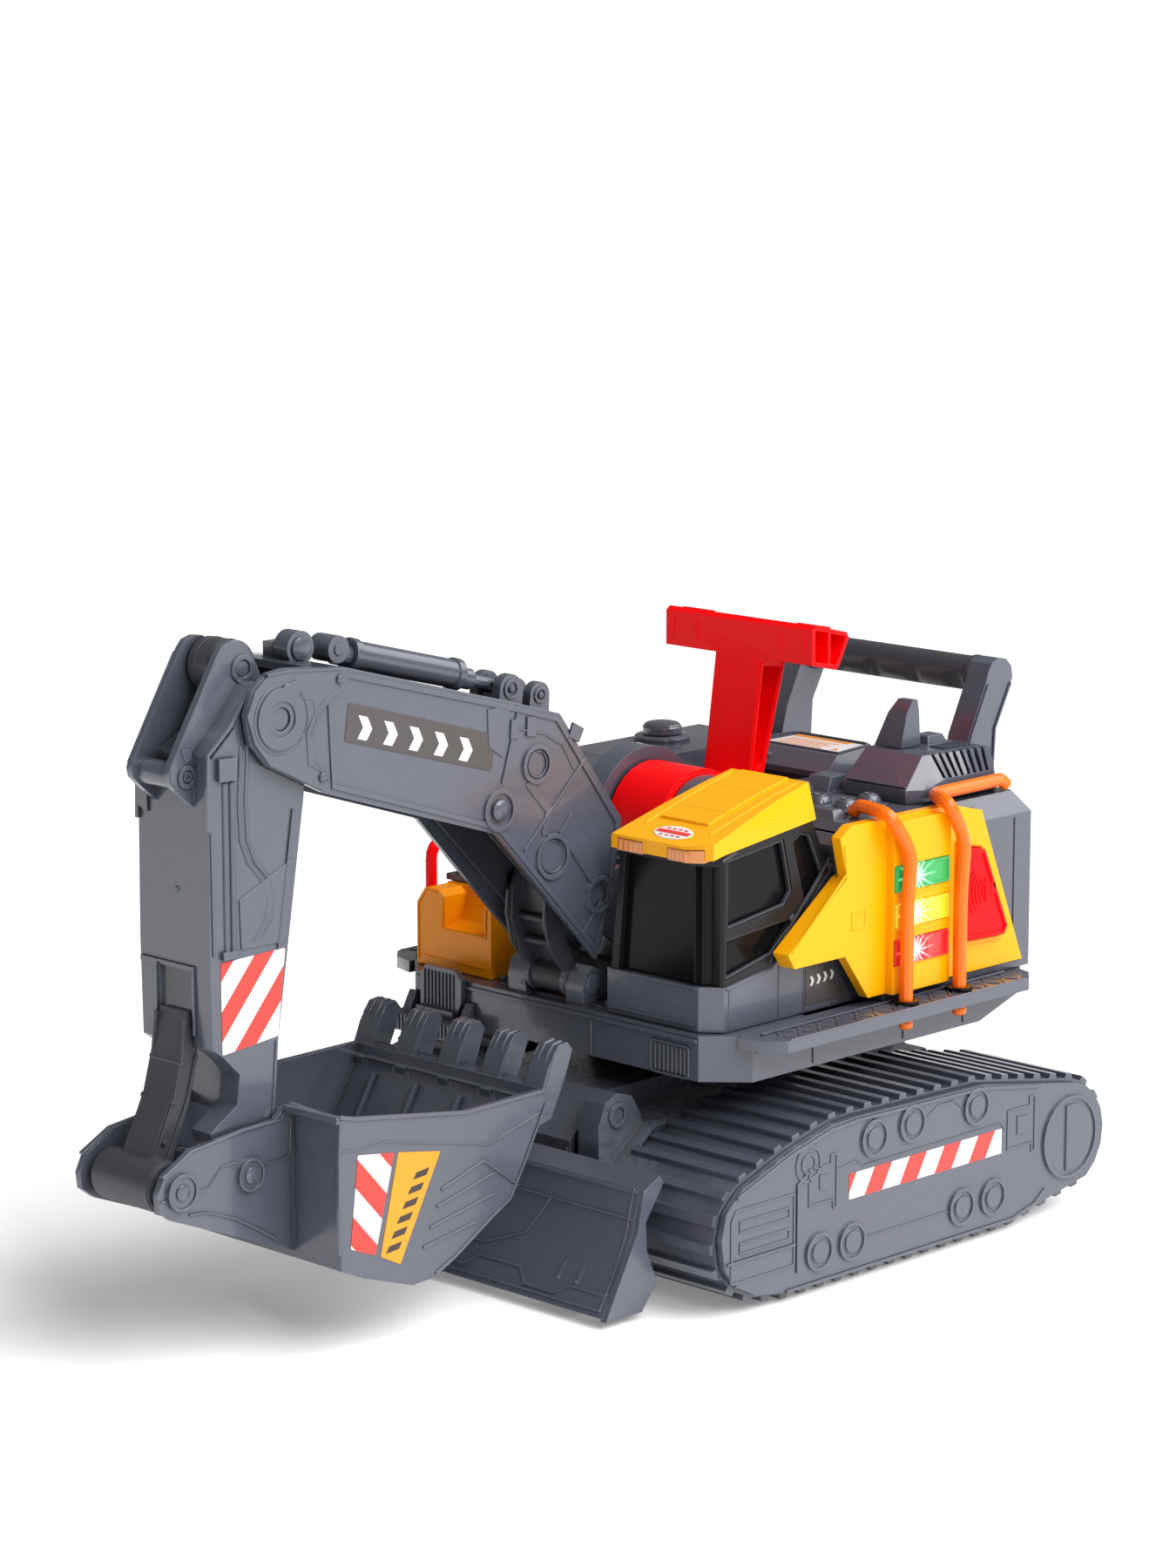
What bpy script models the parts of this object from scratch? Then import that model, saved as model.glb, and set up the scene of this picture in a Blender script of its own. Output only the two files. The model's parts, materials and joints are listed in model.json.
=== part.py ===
"""Ride on toy digger: crawler undercarriage, slewing house with cab, and a three-part digging arm.

Sizes below are millimetres and are turned into metres by the helpers. X is the operator's left,
the front faces -Y, Z is up. The machine's slew axis stands SLEW_Y behind the model's origin.
"""

import math

import bmesh
import bpy
from mathutils import Matrix, Vector

MM = 0.001
GAP = 0.35  # clearance between pieces that touch

# Driving dimensions
SLEW_Y = 118.3  # slew axis behind the centre of the footprint
TRACK_OUT = 158.0
TRACK_IN = 77.0
PLATE_OUT = 162.5
TRACK_PITCH = 15.0
TRACK_BAR = 6.0
TRACK_RISE = 3.0
SOLE_Z = 4.5
IDLER = (150.0, 46.0)
IDLER_R = 34.0
WHEEL_R = 17.0
WHEEL_Y = 94.0
BLADE_HALF = 126.0
BLADE_WHEEL_R = 8.0
RING_R = 62.0
HOUSE_Z = 120.0
DECK_Z = 146.0
HOUSE_HALF = 135.0
WALKWAY_HALF = 156.0
COVER_TOP = 250.0
COVER_FRONT = -13.6
CAB_IN = 39.5
CAB_OUT = 120.0
CAB_FRONT = -112.0
CAB_REAR = -14.0
CAB_SILL = 172.0
PANEL_IN = 128.35
PANEL_OUT = 135.0
RAIL_X = 146.0
RAIL_R = 4.0
GRIP_R = 10.5
GRIP_HALF = 64.0
GRIP_Y = 180.0
GRIP_Z = 306.0
LEVER_X = -8.0
LEVER_AXIS = (-8.0, 232.0)
LEVER_HUB_R = 35.0
ARM_X = -8.0  # the digging arm's centre plane
ARM_SHIFT = (3.0, -2.0)  # from the arm's own drawing frame to the machine's, in Y and Z
BOOM_HALF = 33.0
BOOM_PIN = (-104.0, 210.0)
STICK_HALF = 28.0
STICK_PIN = (-341.0, 340.0)
HORN_GAP = 12.6  # half the space between the stick's two horn cheeks
ROLLER = (-354.4, 367.7)
BUCKET_HALF = 76.0
BUCKET_PIN = (-366.0, 101.0)
LINK_PIN = (-413.0, 101.0)
LIFT_PIN = (-105.0, 158.0)

for old in list(bpy.data.objects):
    bpy.data.objects.remove(old, do_unlink=True)

AXES = {"X": 0, "Y": 1, "Z": 2}
colours = {}


# ---------------------------------------------------------------- helpers
def point(axis, a, b, t):
    """A point from its place t along an axis and its two other coordinates in X, Y, Z order."""
    place = [a, b]
    place.insert(AXES[axis], t)
    return Vector(place) * MM


def solid(name, bm):
    bmesh.ops.recalc_face_normals(bm, faces=bm.faces)
    mesh = bpy.data.meshes.new(name)
    bm.to_mesh(mesh)
    bm.free()
    obj = bpy.data.objects.new(name, mesh)
    bpy.context.collection.objects.link(obj)
    return obj


def loft(axis, levels):
    """Outlines of equal point counts, each at its own place along an axis, joined ring to ring."""
    bm = bmesh.new()
    rings = []
    for t, outline in levels:
        rings.append([bm.verts.new(point(axis, a, b, t)) for a, b in outline])
    for low, high in zip(rings, rings[1:]):
        for i in range(len(low)):
            j = (i + 1) % len(low)
            bm.faces.new((low[i], low[j], high[j], high[i]))
    bm.faces.new(rings[0])
    bm.faces.new(rings[-1])
    return solid("tool", bm)


def prism(axis, outline, low, high):
    """An outline in the two other axes, carried from low to high along an axis."""
    return loft(axis, [(low, outline), (high, outline)])


def box(x0, x1, y0, y1, z0, z1):
    return prism("Z", [(x0, y0), (x1, y0), (x1, y1), (x0, y1)], z0, z1)


def circle(a, b, radius, sides):
    step = 2 * math.pi / sides
    return [(a + radius * math.cos(step * i), b + radius * math.sin(step * i)) for i in range(sides)]


def cylinder(axis, centre, radius, low, high, sides=20):
    return prism(axis, circle(centre[0], centre[1], radius, sides), low, high)


def turned(axis, centre, profile, sides=24):
    """Rings of (place along the axis, radius), capped at both ends."""
    return loft(axis, [(t, circle(centre[0], centre[1], radius, sides)) for t, radius in profile])


def rounded(path, radius, steps=4, closed=False):
    """A route of points with its corners replaced by arcs."""
    points = [Vector(p) for p in path]
    count = len(points)
    out = []
    for i, here in enumerate(points):
        if not closed and i in (0, count - 1):
            out.append(here)
            continue
        before = points[i - 1]
        after = points[(i + 1) % count]
        reach = min(radius, (before - here).length * 0.45, (after - here).length * 0.45)
        start = here + (before - here).normalized() * reach
        end = here + (after - here).normalized() * reach
        for k in range(steps + 1):
            t = k / steps
            out.append((1 - t) ** 2 * start + 2 * t * (1 - t) * here + t * t * end)
    return out


def tube(path, radius, sides=10, bend=12.0):
    """A round bar along a route with rounded bends."""
    route = [p * MM for p in rounded(path, bend)]
    bm = bmesh.new()
    rings = []
    side = None
    for i, here in enumerate(route):
        ahead = (route[min(i + 1, len(route) - 1)] - route[max(i - 1, 0)]).normalized()
        if side is None:
            side = ahead.orthogonal().normalized()
        side = (side - ahead * side.dot(ahead)).normalized()
        up = ahead.cross(side)
        ring = []
        for k in range(sides):
            angle = 2 * math.pi * k / sides
            offset = side * math.cos(angle) + up * math.sin(angle)
            ring.append(bm.verts.new(here + offset * radius * MM))
        rings.append(ring)
    for low, high in zip(rings, rings[1:]):
        for k in range(sides):
            j = (k + 1) % sides
            bm.faces.new((low[k], low[j], high[j], high[k]))
    bm.faces.new(rings[0])
    bm.faces.new(rings[-1])
    return solid("tool", bm)


def is_closed(mesh):
    bm = bmesh.new()
    bm.from_mesh(mesh)
    closed = all(edge.is_manifold for edge in bm.edges)
    bm.free()
    return closed


def boolean(target, tools, operation):
    """Combines solids with the exact solver, or with the manifold one where faces lie on each other."""
    for tool in tools:
        modifier = target.modifiers.new("combine", "BOOLEAN")
        modifier.operation = operation
        modifier.object = tool
        for solver in ("EXACT", "MANIFOLD"):
            modifier.solver = solver
            graph = bpy.context.evaluated_depsgraph_get()
            mesh = bpy.data.meshes.new_from_object(target.evaluated_get(graph))
            if is_closed(mesh):
                break
        target.modifiers.clear()
        target.data = mesh
        bpy.data.objects.remove(tool, do_unlink=True)
    return target


def join(target, *tools):
    return boolean(target, tools, "UNION")


def cut(target, *tools):
    return boolean(target, tools, "DIFFERENCE")


def grown(outline, distance):
    """An outline moved outward (or inward, when negative) by a distance."""
    points = [Vector(p) for p in outline]
    area = sum(a.x * b.y - b.x * a.y for a, b in zip(points, points[1:] + points[:1]))
    sign = 1.0 if area > 0 else -1.0
    out = []
    for i, here in enumerate(points):
        before = (here - points[i - 1]).normalized()
        after = (points[(i + 1) % len(points)] - here).normalized()
        n1 = Vector((before.y, -before.x)) * sign
        n2 = Vector((after.y, -after.x)) * sign
        mitre = (n1 + n2).normalized()
        out.append(here + mitre * distance / max(mitre.dot(n1), 0.4))
    return [(p.x, p.y) for p in out]


def mirrored(outline):
    return [(-a, b) for a, b in outline]


def finish(obj, name, colour, pivot=None, arm=False):
    """Names a piece, gives it its material and puts its origin on its joint's axis."""
    obj.name = name
    obj.data.name = name
    if colour not in colours:
        rgb, roughness, metallic = PAINTS[colour]
        material = bpy.data.materials.new(colour)
        material.use_nodes = True
        shader = material.node_tree.nodes["Principled BSDF"]
        shader.inputs["Base Color"].default_value = (*rgb, 1.0)
        shader.inputs["Roughness"].default_value = roughness
        shader.inputs["Metallic"].default_value = metallic
        colours[colour] = material
    obj.data.materials.clear()
    obj.data.materials.append(colours[colour])
    for polygon in obj.data.polygons:
        polygon.use_smooth = True
    obj.data.set_sharp_from_angle(angle=math.radians(32))
    shift = Vector((0.0, SLEW_Y, 0.0)) * MM
    if arm:
        shift += Vector((ARM_X, *ARM_SHIFT)) * MM
    centre = Vector(pivot if pivot else (0.0, 0.0, 0.0)) * MM
    if arm and pivot:
        centre.x = 0.0
    obj.data.transform(Matrix.Translation(-centre))
    obj.location = centre + shift
    return obj


PAINTS = {
    "grey_plastic": ((0.105, 0.12, 0.145), 0.42, 0.0),
    "dark_plastic": ((0.03, 0.032, 0.036), 0.5, 0.0),
    "black_plastic": ((0.012, 0.012, 0.013), 0.3, 0.0),
    "yellow_plastic": ((0.92, 0.46, 0.01), 0.35, 0.0),
    "orange_plastic": ((0.9, 0.2, 0.01), 0.35, 0.0),
    "red_plastic": ((0.8, 0.012, 0.01), 0.33, 0.0),
    "green_lens": ((0.01, 0.35, 0.08), 0.12, 0.0),
    "yellow_lens": ((0.85, 0.65, 0.02), 0.12, 0.0),
    "red_lens": ((0.7, 0.01, 0.01), 0.12, 0.0),
    "amber_lens": ((0.85, 0.3, 0.06), 0.12, 0.0),
    "steel": ((0.5, 0.5, 0.52), 0.3, 1.0),
}


# ---------------------------------------------------------------- undercarriage
def track_path():
    """The closed line under the shoes, from the sole round the rear idler to the front."""
    path = [(-98.0, SOLE_Z), (0.0, SOLE_Z), (98.0, SOLE_Z)]
    for degrees in (-58, -38, -18, 2, 22, 42, 62, 78):
        angle = math.radians(degrees)
        path.append((IDLER[0] + IDLER_R * math.cos(angle), IDLER[1] + IDLER_R * math.sin(angle)))
    path += [(70.0, 94.5), (-40.0, 97.0), (-62.0, 96.0), (-96.0, 87.5), (-134.0, 74.0)]
    path += [(-148.0, 62.0), (-152.0, 46.0), (-149.0, 29.0), (-138.0, 16.0), (-122.0, 8.0)]
    return [Vector(p) for p in path]


def along(path, distance):
    """The place on a closed path at a distance along it, and its outward normal there."""
    count = len(path)
    for i in range(count):
        start, end = path[i], path[(i + 1) % count]
        length = (end - start).length
        if distance <= length:
            heading = (end - start) / length
            return start + heading * distance, Vector((heading.y, -heading.x))
        distance -= length
    return path[0], Vector((0.0, -1.0))


def belt_outline(pitch, bar, rise):
    path = track_path()
    total = sum((b - a).length for a, b in zip(path, path[1:] + path[:1]))
    count = round(total / pitch)
    step = total / count
    out = []
    for i in range(count):
        for distance, lift in ((0.0, 0.0), (0.8, rise), (bar, rise), (bar + 0.8, 0.0)):
            place, normal = along(path, i * step + distance)
            out.append(tuple(place + normal * lift))
    return out


def side_outline(inset):
    path = track_path()
    return grown([tuple(p) for p in path], -inset)


def build_undercarriage():
    hood = [(-149.0, 24.0), (-149.0, 80.0), (-120.0, 103.5), (120.0, 103.5), (148.0, 74.0), (148.0, 24.0)]
    flank = [(-140.0, 24.0), (-140.0, 68.0), (-112.0, 90.0), (120.0, 90.0), (140.0, 70.0), (140.0, 24.0)]
    base = prism("X", hood, -46.0, 46.0)
    join(base, prism("X", flank, -TRACK_IN + GAP, TRACK_IN - GAP))
    lug = [(-148.0, 60.0), (-148.0, 92.0), (-143.0, 104.0), (-133.0, 108.5), (-122.0, 105.0), (-114.0, 92.0)]
    lug += [(-112.0, 60.0)]
    for side in (-1, 1):
        low, high = sorted((side * 52.0, side * 68.0))
        join(base, prism("X", lug, low, high))
    below = [(-145.0, 20.0), (-145.0, 78.0), (-118.5, 99.5), (118.0, 99.5), (144.0, 72.0), (144.0, 20.0)]
    cut(base, prism("X", below, -42.0, 42.0))
    below = [(-136.0, 20.0), (-136.0, 66.0), (-110.5, 86.0), (118.0, 86.0), (136.0, 68.0), (136.0, 20.0)]
    cut(base, prism("X", below, -72.5, 72.5))
    finish(base, "undercarriage_base", "grey_plastic")

    ring = turned("Z", (0, 0), [(103.9, RING_R - 4), (106.0, RING_R), (114.0, RING_R),
                                (119.5, RING_R - 3)], 32)
    cut(ring, cylinder("Z", (0, 0), 21.0, 90.0, 130.0, 24))
    finish(ring, "turntable_ring", "black_plastic")

    arc = [math.radians(angle) for angle in range(-102, 103, 17)]
    idler_cap = [(IDLER[0] + 20.0 * math.cos(angle), IDLER[1] + 20.0 * math.sin(angle)) for angle in arc]
    for side, word in ((1, "left"), (-1, "right")):
        low, high = sorted((side * TRACK_IN, side * TRACK_OUT))
        belt = prism("X", belt_outline(TRACK_PITCH, TRACK_BAR, TRACK_RISE), low, high)
        hollow = sorted((side * (TRACK_IN - 5.0), side * (TRACK_OUT - 4.0)))
        cut(belt, prism("X", side_outline(4.0), *hollow))
        for y in (-WHEEL_Y, WHEEL_Y):
            well = sorted((side * 88.0, side * 148.0))
            cut(belt, box(well[0], well[1], y - 20.0, y + 20.0, -2.0, 37.0))
            cut(belt, cylinder("X", (y, WHEEL_R), 3.0 + GAP, low - 2, high + 2, 12))
        finish(belt, "track_belt_" + word, "grey_plastic")

        inner, outer = sorted((side * (TRACK_OUT + GAP), side * PLATE_OUT))
        plate = prism("X", side_outline(2.0), inner, outer)
        boss = sorted((side * (PLATE_OUT - 1.0), side * (PLATE_OUT + 1.5)))
        sunk = sorted((side * (PLATE_OUT + 0.5), side * (PLATE_OUT + 4.0)))
        for y, z, r in ((-71, 24, 11), (-43.5, 24, 11), (51.5, 24, 11), (79.5, 24, 11), (-25.5, 80, 11),
                        (7.0, 82, 11), (63.5, 81, 11)):
            join(plate, cylinder("X", (y, z), r, boss[0], boss[1], 20))
            cut(plate, cylinder("X", (y, z), r - 1.7, *sunk, 20))
            join(plate, cylinder("X", (y, z), r - 4.8, boss[0], boss[1], 16))
        join(plate, cylinder("X", IDLER, 25.0, boss[0], boss[1], 28))
        cut(plate, cylinder("X", IDLER, 23.0, *sunk, 28))
        join(plate, prism("X", idler_cap, boss[0], boss[1]))
        finish(plate, "track_plate_" + word, "grey_plastic")

    for y, word in ((-WHEEL_Y, "front"), (WHEEL_Y, "rear")):
        rod = cylinder("X", (y, WHEEL_R), 3.0, -157.0, 157.0, 12)
        finish(rod, "axle_" + word, "steel")
        for side, hand in ((1, "left"), (-1, "right")):
            low, high = sorted((side * 92.0, side * 144.0))
            mid = (low + high) / 2
            wheel = turned("X", (y, WHEEL_R), [(low, WHEEL_R - 2), (low + 3, WHEEL_R), (high - 3, WHEEL_R),
                                               (high, WHEEL_R - 2)], 28)
            cut(wheel, cylinder("X", (y, WHEEL_R), 3.0 + GAP, low - 1, high + 1, 12))
            finish(wheel, "roller_" + word + "_" + hand, "black_plastic", (mid, y, WHEEL_R))

    face = [(-160.0, 78.0), (-172.5, 72.0), (-176.0, 60.0), (-178.0, 50.0), (-189.0, 26.0), (-202.0, 6.0)]
    back = [(-198.0, 6.0), (-184.5, 26.0), (-173.5, 50.0), (-171.5, 60.0), (-168.0, 69.0), (-158.0, 74.0)]
    blade = prism("X", face + back, -BLADE_HALF + 3, BLADE_HALF - 3)
    wing = [(-160.0, 78.0), (-172.5, 72.0), (-177.0, 50.0), (-202.0, 4.5), (-174.0, 4.5), (-162.0, 19.0),
            (-170.0, 38.0), (-171.0, 54.0), (-157.0, 74.0)]
    arm = [(-150.0, 30.0), (-150.0, 66.0), (-171.0, 66.0), (-172.0, 52.0), (-181.5, 34.0), (-176.0, 30.0)]
    for side in (-1, 1):
        low, high = sorted((side * (BLADE_HALF - 4.0), side * BLADE_HALF))
        join(blade, prism("X", wing, low, high))
        low, high = sorted((side * 48.0, side * 62.0))
        join(blade, prism("X", arm, low, high))
        low, high = sorted((side * 80.5, side * 83.0))
        fork = [(-170.0, 40.0), (-184.0, 34.0), (-194.0, 20.0), (-193.5, 5.5), (-183.5, 5.5)]
        join(blade, prism("X", fork, low, high))
        low, high = sorted((side * 95.0, side * 97.5))
        join(blade, prism("X", fork, low, high))
        cut(blade, cylinder("X", (-187.0, BLADE_WHEEL_R), 2.0, side * 89 - 10, side * 89 + 10, 10))
    finish(blade, "dozer_blade", "grey_plastic")
    for side, word in ((1, "left"), (-1, "right")):
        wheel = cylinder("X", (-187.0, BLADE_WHEEL_R), BLADE_WHEEL_R, side * 89 - 5.5, side * 89 + 5.5, 24)
        join(wheel, cylinder("X", (-187.0, BLADE_WHEEL_R), 1.6, side * 89 - 8.5, side * 89 + 8.5, 10))
        finish(wheel, "blade_wheel_" + word, "black_plastic", (side * 89, -187.0, BLADE_WHEEL_R))


# ---------------------------------------------------------------- house
PANEL = [(-67.5, 186.5), (-62.0, 178.0), (-20.0, 178.0), (0.0, 151.0), (137.0, 151.0), (98.0, 245.0),
         (70.0, 252.0), (-16.0, 252.0), (-25.0, 246.0), (-19.0, 222.0)]
PANEL_RIGHT = [(-24.0, 178.0), (0.0, 151.0), (137.0, 151.0), (98.0, 245.0), (70.0, 252.0), (-16.0, 252.0),
               (-24.0, 246.0)]
HORN = [(78.0, 226.5), (96.0, 223.0), (117.5, 175.0), (114.5, 170.0), (78.0, 171.5)]
RAILS = (("front", 20.0), ("rear", 67.0))
LENSES = (("green", 210.0, 224.5), ("yellow", 189.0, 203.0), ("red", 167.5, 182.0))


def build_house_base():
    skirt = [(-113.0, -116.0), (113.0, -116.0), (HOUSE_HALF, -96.0), (HOUSE_HALF, 136.0), (120.0, 149.0),
             (-120.0, 149.0), (-HOUSE_HALF, 136.0), (-HOUSE_HALF, -96.0)]
    base = prism("Z", skirt, HOUSE_Z, DECK_Z)
    walk = [(HOUSE_HALF - 4, -104.0), (146.0, -100.0), (WALKWAY_HALF, -90.0), (WALKWAY_HALF, 118.0),
            (146.0, 130.0), (HOUSE_HALF - 4, 134.0)]
    join(base, prism("Z", walk, 139.0, DECK_Z))
    join(base, prism("Z", mirrored(walk), 139.0, DECK_Z))
    cut(base, prism("X", [(96.0, 119.0), (152.0, 119.0), (152.0, 137.0)], -160.0, 160.0))
    cut(base, box(-124.0, 124.0, -40.0, 92.0, 124.5, 150.0))
    cut(base, box(-124.0, 124.0, 91.0, 130.0, 140.5, 150.0))
    cut(base, box(-124.0, 124.0, 98.0, 130.0, 110.0, 137.0))
    cut(base, prism("Z", [(-104.0, -111.0), (104.0, -111.0), (126.0, -92.0), (126.0, -66.0), (-126.0, -66.0),
                          (-126.0, -92.0)], 110.0, 142.0))
    join(base, turned("Z", (0, 0), [(107.0, 20.3), (121.0, 20.3)], 24))
    for word, y in RAILS:
        cut(base, cylinder("Z", (RAIL_X, y), RAIL_R + GAP, 130.0, 150.0, 12))
    for x in (ARM_X - 23.0, ARM_X + 23.0):
        lug = [(-113.0, 145.0), (-114.0, 156.0), (-111.0, 165.0), (-105.0, 168.0), (-97.0, 164.0),
               (-92.0, 152.0), (-90.0, 145.0)]
        join(base, prism("X", lug, x - 7.0, x + 7.0))
    cut(base, cylinder("X", LIFT_PIN, 4.0 + GAP, -60.0, 50.0, 14))
    finish(base, "house_base", "grey_plastic", (0, 0, 0))


def build_cover():
    plan = [(-134.0, -22.0), (36.0, -22.0), (36.0, COVER_FRONT), (134.0, COVER_FRONT), (134.0, 144.4),
            (131.4, 147.0), (-131.4, 147.0), (-134.0, 144.4)]
    rear = [(125.0, 136.5), (123.5, 138.0), (-123.5, 138.0), (-125.0, 136.5)]
    cover = loft("Z", [(DECK_Z + GAP, plan), (238.0, plan), (COVER_TOP, grown(plan, -9.0)[:4] + rear)])
    join(cover, box(-46.0, 38.0, -60.0, -20.0, DECK_Z + GAP, 226.0))
    raised = [(-16.0, 248.0), (-16.0, 252.0), (4.0, 262.0), (120.0, 262.0), (130.0, 252.0), (130.0, 248.0)]
    join(cover, prism("X", raised, -108.0, -50.0))
    cut(cover, box(-30.5, 14.5, -54.0, 90.0, 190.0, 280.0))
    for low, high, r in ((-46.0, -30.0, 43.0), (14.0, 27.0, 32.0)):
        join(cover, prism("X", circle(LEVER_AXIS[0], LEVER_AXIS[1], r, 28), low, high))
    cut(cover, cylinder("X", LEVER_AXIS, 5.0 + GAP, -48.0, 30.0, 14))
    cut(cover, prism("X", grown(PANEL, GAP), PANEL_IN - GAP, 150.0))
    cut(cover, prism("X", grown(PANEL_RIGHT, GAP), -150.0, -PANEL_IN + GAP))
    cut(cover, box(CAB_OUT, 140.0, COVER_FRONT - 2.0, 14.0, 140.0, 178.6))
    inside = [(-124.0, -18.0), (-42.0, -18.0), (-42.0, -56.0), (34.0, -56.0), (34.0, -9.0), (112.0, -9.0),
              (112.0, 20.0), (124.0, 20.0), (124.0, 126.0), (114.0, 143.0), (-114.0, 143.0), (-124.0, 126.0)]
    cut(cover, prism("Z", inside, 140.0, 188.0))
    for low, high in ((-120.0, -50.0), (31.0, 120.0)):
        cut(cover, box(low, high, -9.0, 138.0, 180.0, 245.0))
    cut(cover, box(-46.0, 27.0, 94.0, 138.0, 180.0, 245.0))
    finish(cover, "engine_cover", "grey_plastic", (0, 0, 0))


def build_panels():
    for side, outline, word in ((1, PANEL, "left"), (-1, PANEL_RIGHT, "right")):
        low, high = sorted((side * PANEL_IN, side * PANEL_OUT))
        panel = prism("X", outline, low, high)
        if side > 0:
            nose = [(-67.5, 186.5), (-62.0, 178.0), (-14.3, 178.0), (-14.3, 223.5), (-19.0, 222.0)]
            join(panel, prism("X", nose, 123.5, PANEL_OUT - 1.0))
            block = [(14.6, 151.0), (64.0, 151.0), (64.0, 246.0), (58.0, 250.0), (14.6, 250.0)]
            join(panel, prism("X", block, PANEL_OUT - 1.0, 140.5))
            for _, z0, z1 in LENSES:
                cut(panel, box(137.0, 145.0, 15.2, 62.4, z0 - GAP, z1 + GAP))
            cut(panel, prism("X", grown(HORN, 0.5), 120.0, 150.0))
        finish(panel, "side_panel_" + word, "yellow_plastic", (0, 0, 0))
    for colour, z0, z1 in LENSES:
        lens = box(137.0 + GAP, 141.2, 15.6, 62.0, z0, z1)
        finish(lens, "lamp_" + colour, colour + "_lens", (0, 0, 0))
    horn = prism("X", HORN, 132.0, 139.5)
    finish(horn, "horn_button", "red_plastic", (136.0, 97.0, 198.0))


def cab_shell(inset, low, high):
    """The black cabin's leaning outline between two heights, moved inward by an inset."""
    levels = []
    for z in (low, 218.0, high):
        inner = CAB_IN + 3.0 + 0.1 * (z - CAB_SILL)
        rear = CAB_REAR - 0.5 * max(z - 220.0, 0.0)
        plan = [(inner, CAB_FRONT), (109.0, CAB_FRONT), (CAB_OUT, -103.0), (CAB_OUT, rear), (inner, rear)]
        levels.append((z, grown(plan, -inset)))
    return loft("Z", levels)


def build_cab():
    plan = [(CAB_IN, CAB_FRONT), (109.0, CAB_FRONT), (CAB_OUT, -103.0), (CAB_OUT, CAB_REAR),
            (CAB_IN, CAB_REAR)]
    sill = [(-101.0, CAB_SILL), (-62.0, 178.0), (-13.0, 229.5)]
    base = prism("Z", plan, DECK_Z + GAP, 232.0)
    cut(base, prism("Z", grown(plan, -4.0), DECK_Z - 1, 234.0))
    cut(base, prism("X", [(-120.0, CAB_SILL)] + sill + [(-13.0, 240.0), (-120.0, 240.0)], 30.0, 130.0))
    finish(base, "cab_base", "grey_plastic", (0, 0, 0))

    frame = cab_shell(0.0, CAB_SILL + GAP, 262.0)
    cut(frame, cab_shell(4.0, CAB_SILL - 1.0, 264.0))
    below = [(y, z + GAP) for y, z in sill]
    below = [(-104.0, 150.0), (-104.0, CAB_SILL + GAP)] + below + [(-10.0, 150.0)]
    cut(frame, prism("X", below, 30.0, 130.0))
    above = [(-114.0, 242.8), (-108.6, 243.4), (-105.4, 246.0), (-92.0, 248.0), (-31.0, 255.7),
             (-10.0, 258.3)]
    cut(frame, prism("X", above + [(-10.0, 270.0), (-114.0, 270.0)], 30.0, 130.0))
    front_window = [(46.8, 160.0), (108.0, 160.0), (108.0, 239.6), (53.6, 239.0)]
    cut(frame, prism("Y", front_window, CAB_FRONT - 5, CAB_FRONT + 12))
    cut(frame, box(106.0, 124.0, -116.0, -104.5, 160.0, 239.6))
    upper = [(-100.8, 203.8), (-100.8, 242.6), (-55.0, 248.2), (-47.5, 217.6), (-53.8, 210.2)]
    lower = [(-102.0, 175.6), (-102.0, 198.8), (-48.5, 202.9), (-46.5, 199.2), (-65.0, 183.8)]
    quarter = [(-48.3, 245.5), (-40.0, 249.8), (-32.5, 247.5), (-20.5, 222.0), (-37.0, 206.5)]
    for outline in (upper, lower, quarter):
        cut(frame, prism("X", outline, CAB_OUT - 10, CAB_OUT + 5))
    cut(frame, prism("X", [(-101, 176), (-101, 240), (-34, 240), (-34, 214)], CAB_IN - 5, CAB_IN + 16))
    finish(frame, "cab_frame", "dark_plastic", (0, 0, 0))

    glass = cab_shell(4.0 + GAP, 160.0, 258.0)
    cut(glass, cab_shell(7.0, 158.0, 260.0))
    above = [(-114.0, 240.5), (-96.0, 245.0), (-31.0, 253.5), (-10.0, 256.0)]
    cut(glass, prism("X", above + [(-10.0, 270.0), (-114.0, 270.0)], 30.0, 130.0))
    finish(glass, "cab_glass", "black_plastic", (0, 0, 0))

    side = [(-121.0, 243.5), (-105.0, 246.4 + GAP), (-92.0, 248.4), (-31.0, 256.1), (-33.5, 277.2),
            (-57.0, 271.5), (-84.0, 263.5), (-121.0, 251.5)]
    bow = [(106.0, -125.0), (106.0, -121.2), (124.0, -113.5), (124.0, -125.0)]
    roof = prism("X", side, 51.0, CAB_OUT + 2.0)
    for low, high in ((55.0, 75.0), (93.0, 117.3)):
        cut(roof, prism("X", [(-122.0, 240.0), (-122.0, 249.6), (-111.5, 251.6), (-105.0, 247.4),
                              (-108.0, 240.0)], low, high))
    cut(roof, prism("X", [(-96.0, 240.0), (-96.0, 251.0), (-84.0, 259.5), (-57.0, 267.5), (-38.0, 271.5),
                          (-36.5, 240.0)], 56.5, CAB_OUT - 5.0))
    cut(roof, prism("Y", [(50.0, 247.0), (61.0, 279.0), (50.0, 285.0)], -130.0, 0.0))
    cut(roof, prism("Y", [(122.3, 256.0), (118.3, 278.0), (125.0, 285.0), (125.0, 256.0)], -130.0, 0.0))
    cut(roof, prism("Z", bow, 240.0, 280.0))
    finish(roof, "cab_roof", "yellow_plastic", (0, 0, 0))
    lens_side = [(-120.5, 242.6), (-120.5, 249.2), (-111.7, 250.9), (-106.5, 247.5), (-109.0, 244.0)]
    for low, high, word in ((55.4, 74.6, "inner"), (93.4, 116.9, "outer")):
        lamp = prism("X", lens_side, low, high)
        cut(lamp, prism("Z", bow, 240.0, 260.0))
        finish(lamp, "headlamp_" + word, "amber_lens", (0, 0, 0))


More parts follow.
